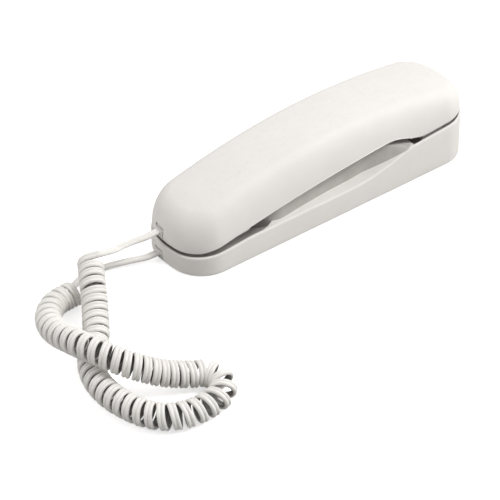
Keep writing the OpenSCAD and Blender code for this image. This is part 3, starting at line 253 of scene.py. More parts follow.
class Coil:
    # the curls: a strand that winds round the route's axis
    def __init__(self, c):
        self.c = c
        run = smoothRun(c["route"], c["routeSteps"])
        self.axis = [Vector(p[:3]) for p in run]
        pitch = [p[3] for p in run]
        self.lengths, turns = [0.0], [0.0]
        for i in range(1, len(run)):
            step = (self.axis[i] - self.axis[i - 1]).length
            self.lengths.append(self.lengths[-1] + step)
            turns.append(turns[-1] + step / pitch[i])
        self.count = c["curls"]
        self.turns = [t * self.count / turns[-1] for t in turns]
        self.radius = (c["curlAcross"] - c["thick"]) / 2

    def axisAt(self, s):
        return lookUp(s, self.lengths, self.axis)

    def outAt(self, turn):
        s, reach = lookUp(turn, self.turns, self.lengths), self.c["axisReach"]
        way = (self.axisAt(min(s + reach, self.lengths[-1])) - self.axisAt(max(s - reach, 0))).normalized()
        side = Vector((0, 0, 1)).cross(way).normalized()
        a = radians(self.c["startAngle"] + 360 * turn)
        return side * cos(a) + way.cross(side) * sin(a)

    def pointAt(self, turn):
        return self.axisAt(lookUp(turn, self.turns, self.lengths)) + self.outAt(turn) * self.radius

    def wayAt(self, turn):
        reach = self.c["turnReach"]
        return (self.pointAt(min(turn + reach, self.count)) - self.pointAt(max(turn - reach, 0))).normalized()


def makeCords(c):
    coil = Coil(c)
    steps = int(coil.count * c["ringsPerCurl"])
    turns = [0, *[coil.count * i / steps for i in range(steps + 1)], coil.count]
    path, ways, outs = ([at(t) for t in turns] for at in (coil.pointAt, coil.wayAt, coil.outAt))
    # both ends run straight on
    start = path[0] = path[0] - ways[0] * c["straight"]
    end = path[-1] = path[-1] + ways[-1] * c["straight"]
    rings = [flatRing(p, w, o, c) for p, w, o in zip(path, ways, outs)]
    curls = link("curlyCord", tubeMesh(rings), "base")
    # marks how far each point faces the curls' axis: the mask for painted shade inside the coil
    inner = curls.data.attributes.new("paintedShadeSide", "FLOAT", "POINT")
    around = len(rings[0])
    for k, point in enumerate(curls.data.vertices):
        depth = (path[k // around] - point.co).dot(outs[k // around]) / (c["thick"] / 2)
        inner.data[k].value = min(1, max(0, depth / c["paintedShadeDepth"] - c["paintedShadeLess"]))
    sharpen(curls, c["sharpAngle"])
    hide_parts("cord_curls")
    runLength(path)
    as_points(path)
    print("curls", round(coil.count, 1), "strand", round(runLength(path), 3), "m")

    leads = []
    for name, node, plug, tip, tipWay, tipOut in (
            ("handsetLead", "handset_lead", "handset_cord_plug", start, ways[0], outs[0]),
            ("baseLead", "base_lead", "base_cord_plug", end, -ways[-1], outs[-1])):
        low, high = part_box(plug)
        exitPoint = Vector((low.x, (low.y + high.y) / 2, (low.z + high.z) / 2))
        points = [exitPoint + Vector((c["plugIn"], 0, 0)), exitPoint, exitPoint - Vector((c["plugOut"], 0, 0)),
                  *[Vector(p) for p in c[name]], tip - tipWay * c["tipRun"], tip]
        run = [Vector(p) for p in smoothRun(points, c["leadSteps"])]
        rings, last = [], len(run) - 1
        for i, p in enumerate(run):
            way = tipWay if i == last else (run[i + 1] - run[max(i - 1, 0)]).normalized()
            twist = max(0, i / last - c["twistFrom"]) / c["twistRun"]
            rings.append(flatRing(p, way, Vector((0, 0, 1)).lerp(tipOut, twist).normalized(), c))
        piece = link(name, tubeMesh(rings))
        sharpen(piece, c["sharpAngle"])
        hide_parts(node)
        leads.append((piece, exitPoint, tip))
        runLength(run)
        print(piece.name, round(runLength(run), 4), "m")
    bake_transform(leads[0][0])
    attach(leads[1][0], "base")
    return curls, leads[0][0], leads[1][0]


cordPieces = makeCords(cordSetup)
print("cords made")

# plan outline and heights that both shells share

plan = {"halfLength": 0.105, "halfWidth": 0.028, "cornerRadius": 0.0215, "endBow": 0.0064,
        "crownSteps": 8, "cornerSteps": 28, "sideStep": 0.0022, "leastStep": 0.0009}
levels = {"rimLow": 0.0124, "rimHigh": 0.0293, "foot": 0.0004, "mouthDepth": 0.0022, "earDepth": 0.0065,
          "pocketIn": 0.0014, "wall": 0.0024, "seatGap": 0.0023, "restRecess": 0.0004}
endRadius = (plan["halfWidth"] ** 2 + plan["endBow"] ** 2) / (2 * plan["endBow"])
endCentre = plan["halfLength"] - endRadius
cornerY = plan["halfWidth"] - plan["cornerRadius"]
cornerX = endCentre + sqrt((endRadius - plan["cornerRadius"]) ** 2 - cornerY ** 2)
cornerStart = atan2(cornerY, cornerX - endCentre)
quarterCount = plan["crownSteps"] + plan["cornerSteps"] + 1
mouthDeckZ = levels["rimLow"] - levels["mouthDepth"]


def rimZ(x):
    share = (x + plan["halfLength"]) / (2 * plan["halfLength"])
    return levels["rimLow"] + (levels["rimHigh"] - levels["rimLow"]) * share


def seatZ(x):
    return rimZ(x) + levels["seatGap"]


def restZ(x):
    return seatZ(x) + levels["restRecess"]


def quarterPoint(q, drawn):
    # one point of a rounded end, from its middle to where the straight side starts
    n, m = plan["crownSteps"], plan["cornerSteps"]
    if q < n:
        a = cornerStart * q / n
        return endCentre + (endRadius - drawn) * cos(a), (endRadius - drawn) * sin(a)
    a = cornerStart + (pi / 2 - cornerStart) * (q - n) / m
    radius = plan["cornerRadius"] - drawn
    return cornerX + radius * cos(a), cornerY + radius * sin(a)


def ringPoint(i, d, e, sideXs):
    # one point of the outline, drawn in by d at the earpiece end and by e at the cord end
    half = 2 * quarterCount + len(sideXs)
    mirrored = i >= half
    j = 2 * half - 2 - i if mirrored else i
    if j < quarterCount:
        x, y = quarterPoint(j, d)
    elif j >= quarterCount + len(sideXs):
        x, y = quarterPoint(half - 1 - j, e)
        x = -x
    else:
        x = sideXs[j - quarterCount]
        y = plan["halfWidth"] - d - (e - d) * (cornerX - x) / (2 * cornerX)
    return (x, -y) if mirrored else (x, y)


def planRing(d, e, sideXs):
    # the whole outline, from the middle of the +X end round
    count = 2 * (2 * quarterCount + len(sideXs)) - 2
    return [ringPoint(i, d, e, sideXs) for i in range(count)]


def sideStations(extra=()):
    n = int(2 * cornerX / plan["sideStep"])
    xs = [cornerX - 2 * cornerX * i / n for i in range(1, n)]
    xs = [x for x in xs if all(abs(x - b) > plan["leastStep"] for b in extra)] + list(extra)
    return sorted(xs, reverse=True)


def fillAcross(points, faces, first, count, heightAt, columns, flip):
    # closes a ring of the shell with rows that run between mirrored points
    half = count // 2
    rows = [[first]]
    for i in range(1, half):
        a, b = Vector(points[first + i]), Vector(points[first + count - i])
        row = [first + i]
        for j in range(1, columns):
            p = a.lerp(b, j / columns)
            p.z = heightAt(p.x, p.y)
            row.append(len(points))
            points.append(tuple(p))
        rows.append(row + [first + count - i])
    rows.append([first + half])
    for one, two in zip(rows, rows[1:]):
        if len(one) == 1:
            made = [(one[0], two[j], two[j + 1]) for j in range(columns)]
        elif len(two) == 1:
            made = [(one[j + 1], one[j], two[0]) for j in range(columns)]
        else:
            made = [(one[j], two[j], two[j + 1], one[j + 1]) for j in range(columns)]
        faces += [f[::-1] if flip else f for f in made]


shell = {"inset": 0.0008, "thick": 0.0022, "top": 0.054, "peak": 0.020, "dropLow": 0.0215, "dropHigh": 0.0085,
         "shoulderLow": 0.013, "shoulderHigh": 0.010, "power": 2.2, "crown": 0.0008,
         "gripStart": -0.096, "gripEnd": 0.036, "gripRise": 0.009, "gripFall": 0.032, "gripSag": 0.0024,
         "edgeRound": 0.0004, "edgeSteps": 4, "innerRound": 0.0003, "innerEdgeSteps": 2,
         "levels": 26, "innerLevels": 8, "capLevels": 7, "capIn": 0.0015, "columns": 10, "innerColumns": 2}


def archZ(x):
    s = shell
    if x < s["peak"]:
        return s["top"] - s["dropLow"] * ((s["peak"] - x) / (plan["halfLength"] + s["peak"])) ** 2
    return s["top"] - s["dropHigh"] * ((x - s["peak"]) / (plan["halfLength"] - s["peak"])) ** 2


def lowerEdgeZ(x):
    s = shell
    if x <= s["gripStart"] or x >= s["gripEnd"] + s["gripFall"]:
        return seatZ(x)
    if x <= s["gripEnd"]:
        u = (x - s["gripStart"]) / (s["gripEnd"] - s["gripStart"])
        straight = (1 - u) * seatZ(s["gripStart"]) + u * (seatZ(s["gripEnd"]) + s["gripRise"])
        return straight + 4 * s["gripSag"] * u * (1 - u)
    return seatZ(x) + s["gripRise"] * (1 + cos(pi * (x - s["gripEnd"]) / s["gripFall"])) / 2


def shellSurface(sideXs, inset, less, drop, lift, steps):
    # rings of the arched shell, from the height lift above its lower edge to the shoulder's end
    s = shell
    p = 2 / s["power"]
    starts = []
    for x, y in planRing(inset, inset, sideXs):
        share = (lowerEdgeZ(x) + lift - seatZ(x)) / (archZ(x) - drop - seatZ(x))
        starts.append(asin(min(1, max(0, share)) ** (1 / p)))
    rings = []
    for k in range(steps + 1):
        ring = []
        for i, start in enumerate(starts):
            t = start + (pi / 2 - start) * k / steps
            c = 1 - max(0.0, cos(t)) ** p
            d, e = (inset + (s[side] - less) * c for side in ("shoulderHigh", "shoulderLow"))
            x, y = ringPoint(i, d, e, sideXs)
            ring.append((x, y, seatZ(x) + (archZ(x) - drop - seatZ(x)) * sin(t) ** p))
        rings.append(ring)
    return rings


def edgeRing(sideXs, d, lift):
    return [(x, y, lowerEdgeZ(x) + lift) for x, y in planRing(d, d, sideXs)]


def makeHandsetShell(s):
    sideXs = sideStations()
    count = len(planRing(0, 0, sideXs))
    inset, thick, edge, inner = s["inset"], s["thick"], s["edgeRound"], s["innerRound"]
    rings = shellSurface(sideXs, inset + thick, thick / 2, thick, inner, s["innerLevels"])[::-1]
    # inner edge, flat land and outer edge
    for a in quarterTurn(s["innerEdgeSteps"])[1:]:
        rings.append(edgeRing(sideXs, inset + thick - inner * (1 - cos(a)), inner * (1 - sin(a))))
    for i in range(s["edgeSteps"]):
        a = pi / 2 * (1 - i / s["edgeSteps"])
        rings.append(edgeRing(sideXs, inset + edge * (1 - cos(a)), edge * (1 - sin(a))))
    rings += shellSurface(sideXs, inset, 0, 0, edge, s["levels"])
    # cap that closes the top
    lastIn = plan["cornerRadius"] - s["capIn"]
    dTop, eTop = inset + s["shoulderHigh"], inset + s["shoulderLow"]
    halfWidth = plan["halfWidth"]

    def shareAt(u):
        return (halfWidth - dTop - (lastIn - dTop) * u) / (halfWidth - dTop)
    for k in range(1, s["capLevels"] + 1):
        u = k / s["capLevels"]
        d, e = dTop + (lastIn - dTop) * u, eTop + (lastIn - eTop) * u
        rings.append([(x, y, archZ(x) + s["crown"] * (1 - shareAt(u) ** 2)) for x, y in planRing(d, e, sideXs)])
    points = [p for ring in rings for p in ring]
    faces = [f[::-1] for f in ringFaces(len(rings), count)]
    reach, endShare = halfWidth - lastIn, shareAt(1)
    spine = plan["halfLength"] - lastIn - reach

    def capZ(x, y):
        away = sqrt(max(0, abs(x) - spine) ** 2 + y * y)
        return archZ(x) + s["crown"] * (1 - (endShare * min(1, away / reach)) ** 2)
    fillAcross(points, faces, len(points) - count, count, capZ, s["columns"], True)
    fillAcross(points, faces, 0, count, lambda x, y: archZ(x) - thick, s["innerColumns"], False)
    return meshFrom(points, faces)


# how far in each opening goes, and the room beside, under and over the plug
plugCuts = {"outside": -0.11, "handset_cord_plug": (-0.1004, 0.0003, 0.0002, 0.0005),
            "base_cord_plug": (-0.1009, 0.00015, 0.00015, 0.00015)}


def cutForPlug(piece, plug):
    low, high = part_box(plug)
    inside, beside, under, over = plugCuts[plug]
    cutAway(piece, (plugCuts["outside"], low.y - beside, low.z - under), (inside, high.y + beside, high.z + over))


handsetShell = linkOutward("handsetShell", makeHandsetShell(shell), "handset")
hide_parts("handset_back")
cutForPlug(handsetShell, "handset_cord_plug")
sharpen(handsetShell)
print("handset shell made")

base = {"rimRound": 0.0010, "rimSteps": 6, "footRound": 0.0009, "footSteps": 4, "wallShares": (0.25, 0.5, 0.75),
        "pocketRound": 0.0003, "bendShare": 0.2929, "floorIn": 0.0095, "deck": 0.002, "topFillet": 0.0003,
        "rampLength": 0.018, "rampParts": 12, "rampPower": 1.5, "innerRings": 4, "easeOut": 0.0002,
        "innerLows": (0.006, 0.005, 0.004), "underScoop": (0.0007, 0.001),
        "saddleFrom": -0.038, "saddleTurn": 0.032, "saddleTo": 0.057, "saddleHalf": 0.021, "saddleGap": 0.0024,
        "flareFrom": 0.022, "flareStep": 0.006, "flareOut": 0.001, "flareEnd": 0.051, "flareHalf": 0.0274,
        "scoopZ": 0.0156, "scoopTurn": 0.004, "scoopEnd": 0.054, "scoopTilt": 8,
        "panelFrom": -0.062, "panelTo": 0.035, "panelRecess": 0.0014}
tiny = 0.00002
sides = ((-1, "Near"), (1, "Far"))


def panelZ(x):
    # underside of the keypad panel
    start, end = base["panelFrom"], base["panelTo"]
    low, high = lowerEdgeZ(start), lowerEdgeZ(end)
    return low + base["panelRecess"] + (high - low) * (x - start) / (end - start)


def saddleZ(x):
    b = base
    if x <= b["saddleTurn"]:
        return panelZ(x) - b["saddleGap"]
    one, two = panelZ(b["saddleTurn"]) - b["saddleGap"], restZ(b["saddleTo"]) - b["saddleGap"]
    return one + (two - one) * (x - b["saddleTurn"]) / (b["saddleTo"] - b["saddleTurn"])


def scoopZ(x, inward):
    b = base
    t = radians(b["scoopTilt"])
    u = max(0, (x - b["scoopTurn"]) / (b["scoopEnd"] - b["scoopTurn"]))
    climb = (rimZ(b["scoopEnd"]) - b["scoopZ"]) * u * u
    along = (inward + climb * sin(t)) / cos(t)
    return b["scoopZ"] + along * sin(t) + climb * cos(t)


def lowOf(a, b, k):
    # the lower of two heights, with a small fillet where they meet
    h = max(0.0, min(1.0, 0.5 + 0.5 * (b - a) / k))
    return b * (1 - h) + a * h - k * h * (1 - h)


def baseTopZ(x, y):
    return lowOf(rimZ(x), scoopZ(x, plan["halfWidth"] - abs(y)), base["topFillet"])


def flareHalf(x):
    # half the width of the saddle where it spreads into its shoulders
    b = base
    if x < b["flareFrom"]:
        return b["saddleHalf"]
    turn, stepped = b["flareFrom"] + b["flareStep"], b["saddleHalf"] + b["flareOut"]
    if x < turn:
        return b["saddleHalf"] + b["flareOut"] * (x - b["flareFrom"]) / b["flareStep"]
    u = (x - turn) / (b["flareEnd"] - turn)
    return min(b["flareHalf"], stepped + (b["flareHalf"] - stepped) * u)


def makeBaseWall(b):
    breaks = [b["saddleTo"] + tiny, b["saddleTo"] - tiny]
    breaks += [b["saddleFrom"] - b["rampLength"] * i / b["rampParts"] for i in range(b["rampParts"] + 1)]
    sideXs = sideStations(breaks)
    xs = [x for x, y in planRing(0, 0, sideXs)]
    count = len(xs)
    floorShare = [0 if x > b["saddleTo"] else min(1, max(0, 1 + (x - b["saddleFrom"]) / b["rampLength"]))
                  for x in xs]
    rings = []

    def addRing(pocket, saddleSide=None):
        # each gives how far in, and the height as a function of the place
        ring = []
        for i in range(count):
            share = floorShare[i] if saddleSide else 0
            one, two = pocket, saddleSide or pocket
            d = one[0] + (two[0] - one[0]) * share ** b["rampPower"]
            x, y = ringPoint(i, d, d, sideXs)
            ring.append((x, y, one[1](x, y) + (two[1](x, y) - one[1](x, y)) * share))
        rings.append(ring)
    foot, wallIn, pocketIn = levels["foot"], levels["wall"], levels["pocketIn"]
    footRound, rimRound, floorIn = b["footRound"], b["rimRound"], b["floorIn"]
    addRing((wallIn, lambda x, y: foot))
    for a in quarterTurn(b["footSteps"]):
        addRing((footRound * (1 - sin(a)), lambda x, y: foot + footRound * (1 - cos(a))))
    low = foot + footRound
    for part in b["wallShares"]:
        addRing((0, lambda x, y: low + part * (baseTopZ(x, y) - rimRound - low)))
    for a in quarterTurn(b["rimSteps"]):
        addRing((rimRound * (1 - cos(a)), lambda x, y: baseTopZ(x, y) - rimRound * (1 - sin(a))))
    # over the rim, then down the pocket's side or across the scoop's floor
    q = b["pocketRound"]
    bend = q * b["bendShare"]
    addRing((pocketIn - q, baseTopZ), ((rimRound + floorIn) / 2, baseTopZ))
    addRing((pocketIn - bend, lambda x, y: baseTopZ(x, y) - bend), (floorIn - tiny, baseTopZ))
    addRing((pocketIn, lambda x, y: baseTopZ(x, y) - q), (floorIn, baseTopZ))
    lows, under = b["innerLows"], [b["scoopZ"] - b["deck"] - less for less in b["underScoop"]]
    addRing((pocketIn, lambda x, y: foot + lows[0]), (floorIn, lambda x, y: baseTopZ(x, y) - b["deck"]))
    addRing((pocketIn + b["easeOut"], lambda x, y: foot + lows[1]), (wallIn, lambda x, y: under[0]))
    addRing((wallIn, lambda x, y: foot + lows[2]), (wallIn, lambda x, y: under[1]))
    points = [p for ring in rings for p in ring]
    faces = [f[::-1] for f in ringFaces(len(rings), count)]
    last = (len(rings) - 1) * count
    faces += [(last + (i + 1) % count, (i + 1) % count, i, last + i) for i in range(count)]
    mesh = meshFrom(points, faces)
    # second material slot for the faces inside the pockets, which get the darker pocket finish as painted shade
    mesh.materials.append(None)
    mesh.materials.append(None)
    firstInner = (len(rings) - b["innerRings"]) * count
    for k, face in enumerate(mesh.polygons):
        face.material_index = int(k >= firstInner)
    return mesh


switchCuts = {"farSide": 0.03, "knobZ": 0.0092, "run": 0.004, "slotIn": 0.0251, "slotHalf": 0.0015,
              "recessIn": 0.0269, "recessHalf": 0.0024, "recessEnd": 0.001}


def cutForSwitches(wall, c):
    openings = ((c["run"] + c["recessEnd"], c["recessIn"], c["recessHalf"]), (c["run"], c["slotIn"], c["slotHalf"]))
    for switch in ("ringer_switch_body", "tone_switch_body"):
        low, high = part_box(switch)
        middle = (low.x + high.x) / 2
        for reach, inside, half in openings:
            cutAway(wall, (middle - reach, inside, c["knobZ"] - half),
                    (middle + reach, c["farSide"], c["knobZ"] + half))


deck = {"overlap": 0.0004, "mouthXs": (-0.078, -0.070, -0.062), "rampXs": (-0.050, -0.044),
        "earXs": (0.062, 0.068, 0.074, 0.08), "earStart": 0.0002}


def makeDecks(b, d):
    # floors of the two pockets
    inner = levels["pocketIn"] - d["overlap"]
    corner = sorted(quarterPoint(q, inner) for q in range(1, quarterCount))
    ends, halves = [x for x, y in corner], [y for x, y in corner]
    rampFrom = b["saddleFrom"] - b["rampLength"]

    def halfAt(x):
        return lookUp(abs(x), ends, halves) if abs(x) > cornerX else plan["halfWidth"] - inner

    def mouthZ(x):
        return mouthDeckZ + (b["scoopZ"] - mouthDeckZ) * max(0, (x - rampFrom) / b["rampLength"])

    def earZ(x):
        return rimZ(x) - levels["earDepth"]
    mouthXs = [-x for x in reversed(ends)] + [*d["mouthXs"], rampFrom, *d["rampXs"], b["saddleFrom"]]
    earXs = [b["saddleTo"] - d["earStart"], *d["earXs"]] + ends
    return [link("mouthDeck", slabMesh(mouthXs, halfAt, mouthZ, lambda x: mouthZ(x) - b["deck"])),
            link("earDeck", slabMesh(earXs, halfAt, earZ, lambda x: earZ(x) - b["deck"]))]


saddle = {"noseFrom": -0.0585, "noseTo": -0.040, "noseSteps": 16, "bodySteps": 28, "bodyShort": 0.002,
          "turnReach": 0.0008, "rearXs": (0.037, 0.0408, 0.045, 0.051), "humpHalf": 0.025, "taperTo": 0.008,
          "taperPower": 1.5, "round": 0.0011, "columns": 8, "noseLow": 0.0095, "bodyLow": 0.0125,
          "boreX": 0.020, "boreRadius": 0.0033, "boreTop": 0.05}


def makeSaddle(b, s):
    # saddle with a rounded nose towards the mouthpiece, bored for the plunger
    nose, full, turn = s["noseFrom"], s["noseTo"], b["saddleTurn"]
    n = s["bodySteps"]
    xs = [full - (full - nose) * cos(a) for a in quarterTurn(s["noseSteps"])]
    xs[0] += tiny
    xs += [full + (turn - s["bodyShort"] - full) * i / n for i in range(1, n + 1)]
    xs += [turn + s["turnReach"] * i for i in (-1, 0, 1)] + [*s["rearXs"], b["saddleTo"]]

    def halfAt(x):
        if x < full:
            return s["humpHalf"] * sqrt(max(0, 1 - ((full - x) / (full - nose)) ** 2))
        share = max(0, (s["taperTo"] - x) / (s["taperTo"] - full)) ** s["taperPower"]
        return min(s["humpHalf"], flareHalf(x) + (s["humpHalf"] - b["saddleHalf"]) * share)

    def lowAt(x):
        return s["noseLow"] if x < full else s["bodyLow"]
    made = linkOutward("saddle", slabMesh(xs, halfAt, saddleZ, lowAt, s["columns"], s["round"]))
    applyCut(made, rod("bore", s["boreX"], s["boreRadius"], s["boreTop"]))
    return made


shoulder = {"from": 0.0408, "step": 0.001, "steps": 10, "low": 0.014, "innerHalf": 0.019, "ridgeHalf": 0.0248,
            "slopeSteps": 6, "slopePower": 1.3, "underRim": 0.0004, "underSaddle": 0.0010}


def makeShoulder(b, s, side, tag):
    # carries the rim's height in behind the finger scoop
    rows, n = [], s["slopeSteps"]
    for x in [s["from"] + s["step"] * i for i in range(s["steps"] + 1)] + [b["flareEnd"], b["saddleTo"]]:
        w, top, high = flareHalf(x), rimZ(x) - s["underRim"], saddleZ(x) - s["underSaddle"]
        slope = [(w + (s["ridgeHalf"] - w) * i / n, top + (high - top) * sin(pi / 2 * i / n) ** s["slopePower"])
                 for i in range(n + 1)]
        outline = [(w, s["low"])] + slope + [(s["innerHalf"], high), (s["innerHalf"], s["low"])]
        rows.append([(x, side * y, z) for y, z in outline])
    return linkOutward("saddleShoulder" + tag, rowsMesh(rows))


rib = {"half": 0.0012, "round": 0.0003, "under": 0.0003, "mouthXs": (-0.083, -0.067), "mouthY": 0.015,
       "sunk": 0.0005, "earXs": (0.067, 0.083), "earY": 0.0214, "earLow": 0.0185,
       "cheekY": 0.0066, "cheekHalf": 0.0009, "cheekIn": 0.0034, "cheekTo": 0.1038, "cheekRise": 0.0053}


def makeBar(name, ends, middle, half, low, topAt):
    r = rib["round"]
    xs = [ends[0], ends[0] + r, (ends[0] + ends[1]) / 2, ends[1] - r, ends[1]]
    mesh = slabMesh(xs, lambda x: half, topAt, lambda x: low, 2, r, 3)
    mesh.transform(Matrix.Translation((0, middle, 0)))
    return linkOutward(name, mesh)


def makeRibs(r, side, tag):
    # two ribs that the handset lies on, and one cheek of the wall hook
    clipLow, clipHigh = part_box("wall_hook_clip")

    def ribZ(x):
        return restZ(x) - r["under"]
    return [makeBar("mouthRib" + tag, r["mouthXs"], side * r["mouthY"], r["half"], mouthDeckZ - r["sunk"], ribZ),
            makeBar("earRib" + tag, r["earXs"], side * r["earY"], r["half"], r["earLow"], ribZ),
            makeBar("hookCheek" + tag, (clipHigh.x - r["cheekIn"], r["cheekTo"]), side * r["cheekY"],
                    r["cheekHalf"], clipLow.z - r["sunk"], lambda x: clipLow.z + r["cheekRise"])]


def makeBase(b):
    wall = linkOutward("baseWall", makeBaseWall(b))
    cutForPlug(wall, "base_cord_plug")
    cutForSwitches(wall, switchCuts)
    pieces = [wall, *makeDecks(b, deck), makeSaddle(b, saddle)]
    pieces += [makeShoulder(b, shoulder, side, tag) for side, tag in sides]
    pieces += [made for side, tag in sides for made in makeRibs(rib, side, tag)]
    for piece in pieces:
        sharpen(piece)
        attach(piece, "base")
    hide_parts("base_housing")
    return pieces


basePieces = makeBase(base)

lip = {"from": -0.0598, "to": 0.0558, "rampIn": -0.064, "panelIn": -0.056, "rampOut": 0.057, "out": 0.0257,
       "in": 0.0233, "lift": 0.0006, "sink": 0.0001, "thick": 0.0017, "steps": 40}


def facePanelZ(x):
    # underside of the bent face
    ends = (lip["rampIn"], lip["panelIn"], base["panelTo"], lip["rampOut"])
    return lookUp(x, ends, (restZ(ends[0]), panelZ(ends[1]), panelZ(ends[2]), restZ(ends[3])))


def makeLip(name, side, l):
    # closes the space between the shell's wall and the keypad panel
    rows = []
    for k in range(l["steps"] + 1):
        x = l["from"] + (l["to"] - l["from"]) * k / l["steps"]
        low, panel = lowerEdgeZ(x) + l["lift"], facePanelZ(x)
        outline = [(l["out"], low), (l["in"], panel + l["sink"]), (l["in"], panel + l["thick"]),
                   (l["out"], low + l["thick"])]
        rows.append([(x, side * y, z) for y, z in outline])
    piece = linkOutward(name, rowsMesh(rows), "handset")
    sharpen(piece)
    return piece


lips = [makeLip("panelLip" + tag, side, lip) for side, tag in sides]
print("base housing made of", len(basePieces), "pieces")


def nodeGroup(name, inputs, outputs):
    tree = bpy.data.node_groups.new(name, "ShaderNodeTree")
    for label, value in inputs:
        socket = tree.interface.new_socket(label, in_out="INPUT", socket_type="NodeSocketFloat")
        socket.default_value = value
    for label in outputs:
        tree.interface.new_socket(label, in_out="OUTPUT", socket_type="NodeSocketFloat")
    return tree, tree.nodes.new("NodeGroupInput").outputs, tree.nodes.new("NodeGroupOutput").inputs


def join(source, target):
    # source is a socket to link, or a plain value
    if isinstance(source, bpy.types.NodeSocket):
        target.id_data.links.new(source, target)
    else:
        target.default_value = source


def fill(node, **values):
    for label, value in values.items():
        node.inputs[label.replace("_", " ")].default_value = value


def noiseOf(tree, scale, detail=2.0, rough=0.5, stretch=None):
    place = tree.nodes.new("ShaderNodeTexCoord").outputs["Object"]
    if stretch:
        mapping = tree.nodes.new("ShaderNodeMapping")
        fill(mapping, Scale=stretch)
        join(place, mapping.inputs["Vector"])
        place = mapping.outputs["Vector"]
    noise = tree.nodes.new("ShaderNodeTexNoise")
    join(place, noise.inputs["Vector"])
    join(scale, noise.inputs["Scale"])
    fill(noise, Detail=detail, Roughness=rough)
    return noise.outputs["Fac"]


def spread(tree, value, low, high, toLow=0.0, toHigh=1.0):
    ranged = tree.nodes.new("ShaderNodeMapRange")
    for source, target in zip((value, low, high, toLow, toHigh), ranged.inputs):
        join(source, target)
    return ranged.outputs["Result"]


def maths(tree, operation, one, two=0.0):
    node = tree.nodes.new("ShaderNodeMath")
    node.operation = operation
    join(one, node.inputs[0])
    join(two, node.inputs[1])
    return node.outputs["Value"]


def blendColours(tree, share, one, two):
    node = tree.nodes.new("ShaderNodeMix")
    node.data_type = "RGBA"
    join(share, node.inputs["Factor"])
    join(one, node.inputs["A"])
    join(two, node.inputs["B"])
    return node.outputs["Result"]


def makeGrain():
    # the mould's fine texture, and the slow drift of tone in moulded plastic
    tree, given, out = nodeGroup("mouldedGrain", [("Grain Scale", 1800), ("Mottle Scale", 55)], ["Height", "Mottle"])
    join(noiseOf(tree, given["Grain Scale"], 3, 0.6), out["Height"])
    join(spread(tree, noiseOf(tree, given["Mottle Scale"], 4, 0.55), 0.35, 0.65), out["Mottle"])
    return tree


def makeWear():
    # raised edges that handling has rubbed
    tree, given, out = nodeGroup("edgeWear", [("Scale", 160), ("Reach", 0.035)], ["Mask"])
    pointed = tree.nodes.new("ShaderNodeNewGeometry").outputs["Pointiness"]
    start = 0.515  # a little above the pointiness of a flat face
    edge = spread(tree, pointed, start, maths(tree, "ADD", start, given["Reach"]))
    patchy = spread(tree, noiseOf(tree, given["Scale"], 4, 0.6), 0.35, 0.7)
    join(maths(tree, "MULTIPLY", edge, patchy), out["Mask"])
    return tree


def makeDust():
    # dust that settles on what faces up, more of it in hollows
    tree, given, out = nodeGroup("settledDust", [("Scale", 420), ("Steepness", 0.5)], ["Mask"])
    geometry = tree.nodes.new("ShaderNodeNewGeometry").outputs
    parts = tree.nodes.new("ShaderNodeSeparateXYZ")
    join(geometry["Normal"], parts.inputs["Vector"])
    up = spread(tree, parts.outputs["Z"], given["Steepness"], 1.0)
    hollow = spread(tree, geometry["Pointiness"], 0.5, 0.44, 0.5, 1.0)
    specks = spread(tree, noiseOf(tree, given["Scale"], 5, 0.7), 0.5, 0.75)
    join(maths(tree, "MULTIPLY", maths(tree, "MULTIPLY", up, hollow), specks), out["Mask"])
    return tree


def makePolish():
    # where hands have polished the surface and where it stays dull
    tree, given, out = nodeGroup("handPolish", [("Scale", 28), ("Low", 0.3), ("High", 0.4)], ["Roughness"])
    broad = noiseOf(tree, given["Scale"], 3, 0.5)
    streaks = noiseOf(tree, maths(tree, "MULTIPLY", given["Scale"], 9), 4, 0.6, stretch=(0.35, 1, 1))
    both = maths(tree, "ADD", maths(tree, "MULTIPLY", broad, 0.7), maths(tree, "MULTIPLY", streaks, 0.3))
    join(spread(tree, both, 0.35, 0.65, given["Low"], given["High"]), out["Roughness"])
    return tree


def makePaintedShade():
    # painted shade on the side of the strand that faces the curls' axis, so the gaps between curls look dark, patchy
    # in strength
    tree, given, out = nodeGroup("paintedCoilShade", [("Scale", 260), ("Least", 0.75)], ["Mask"])
    inside = tree.nodes.new("ShaderNodeAttribute")
    inside.attribute_name = "paintedShadeSide"
    patchy = spread(tree, noiseOf(tree, given["Scale"], 3, 0.6), 0.3, 0.7, given["Least"], 1.0)
    join(maths(tree, "MULTIPLY", inside.outputs["Fac"], patchy), out["Mask"])
    return tree


# the inside effect is painted shade on the cord's inner side, not dirt
effects = {"inside": makePaintedShade(), "grain": makeGrain(), "wear": makeWear(), "dust": makeDust(),
           "polish": makePolish()}


def placeGroup(tree, effect, **values):
    node = tree.nodes.new("ShaderNodeGroup")
    node.node_tree = effects[effect]
    fill(node, **values)
    return node.outputs


def newMaterial(name):
    material = bpy.data.materials.new(name)
    material.use_nodes = True
    shader = material.node_tree.nodes["Principled BSDF"]
    return material, material.node_tree, shader


def colour(tone):
    return (*tone, 1.0)


def bumpInto(tree, shader, height, strength, depth):
    bump = tree.nodes.new("ShaderNodeBump")
    fill(bump, Strength=strength, Distance=depth)
    join(height, bump.inputs["Height"])
    join(bump.outputs["Normal"], shader.inputs["Normal"])


# values of a plastic that doesn't give its own
plain = {"mottleScale": 55, "dustScale": 420, "dustTone": (0.42, 0.40, 0.37), "polishScale": 28,
         "specular": 0.5, "coat": 0.0, "coatRoughness": 0.2}


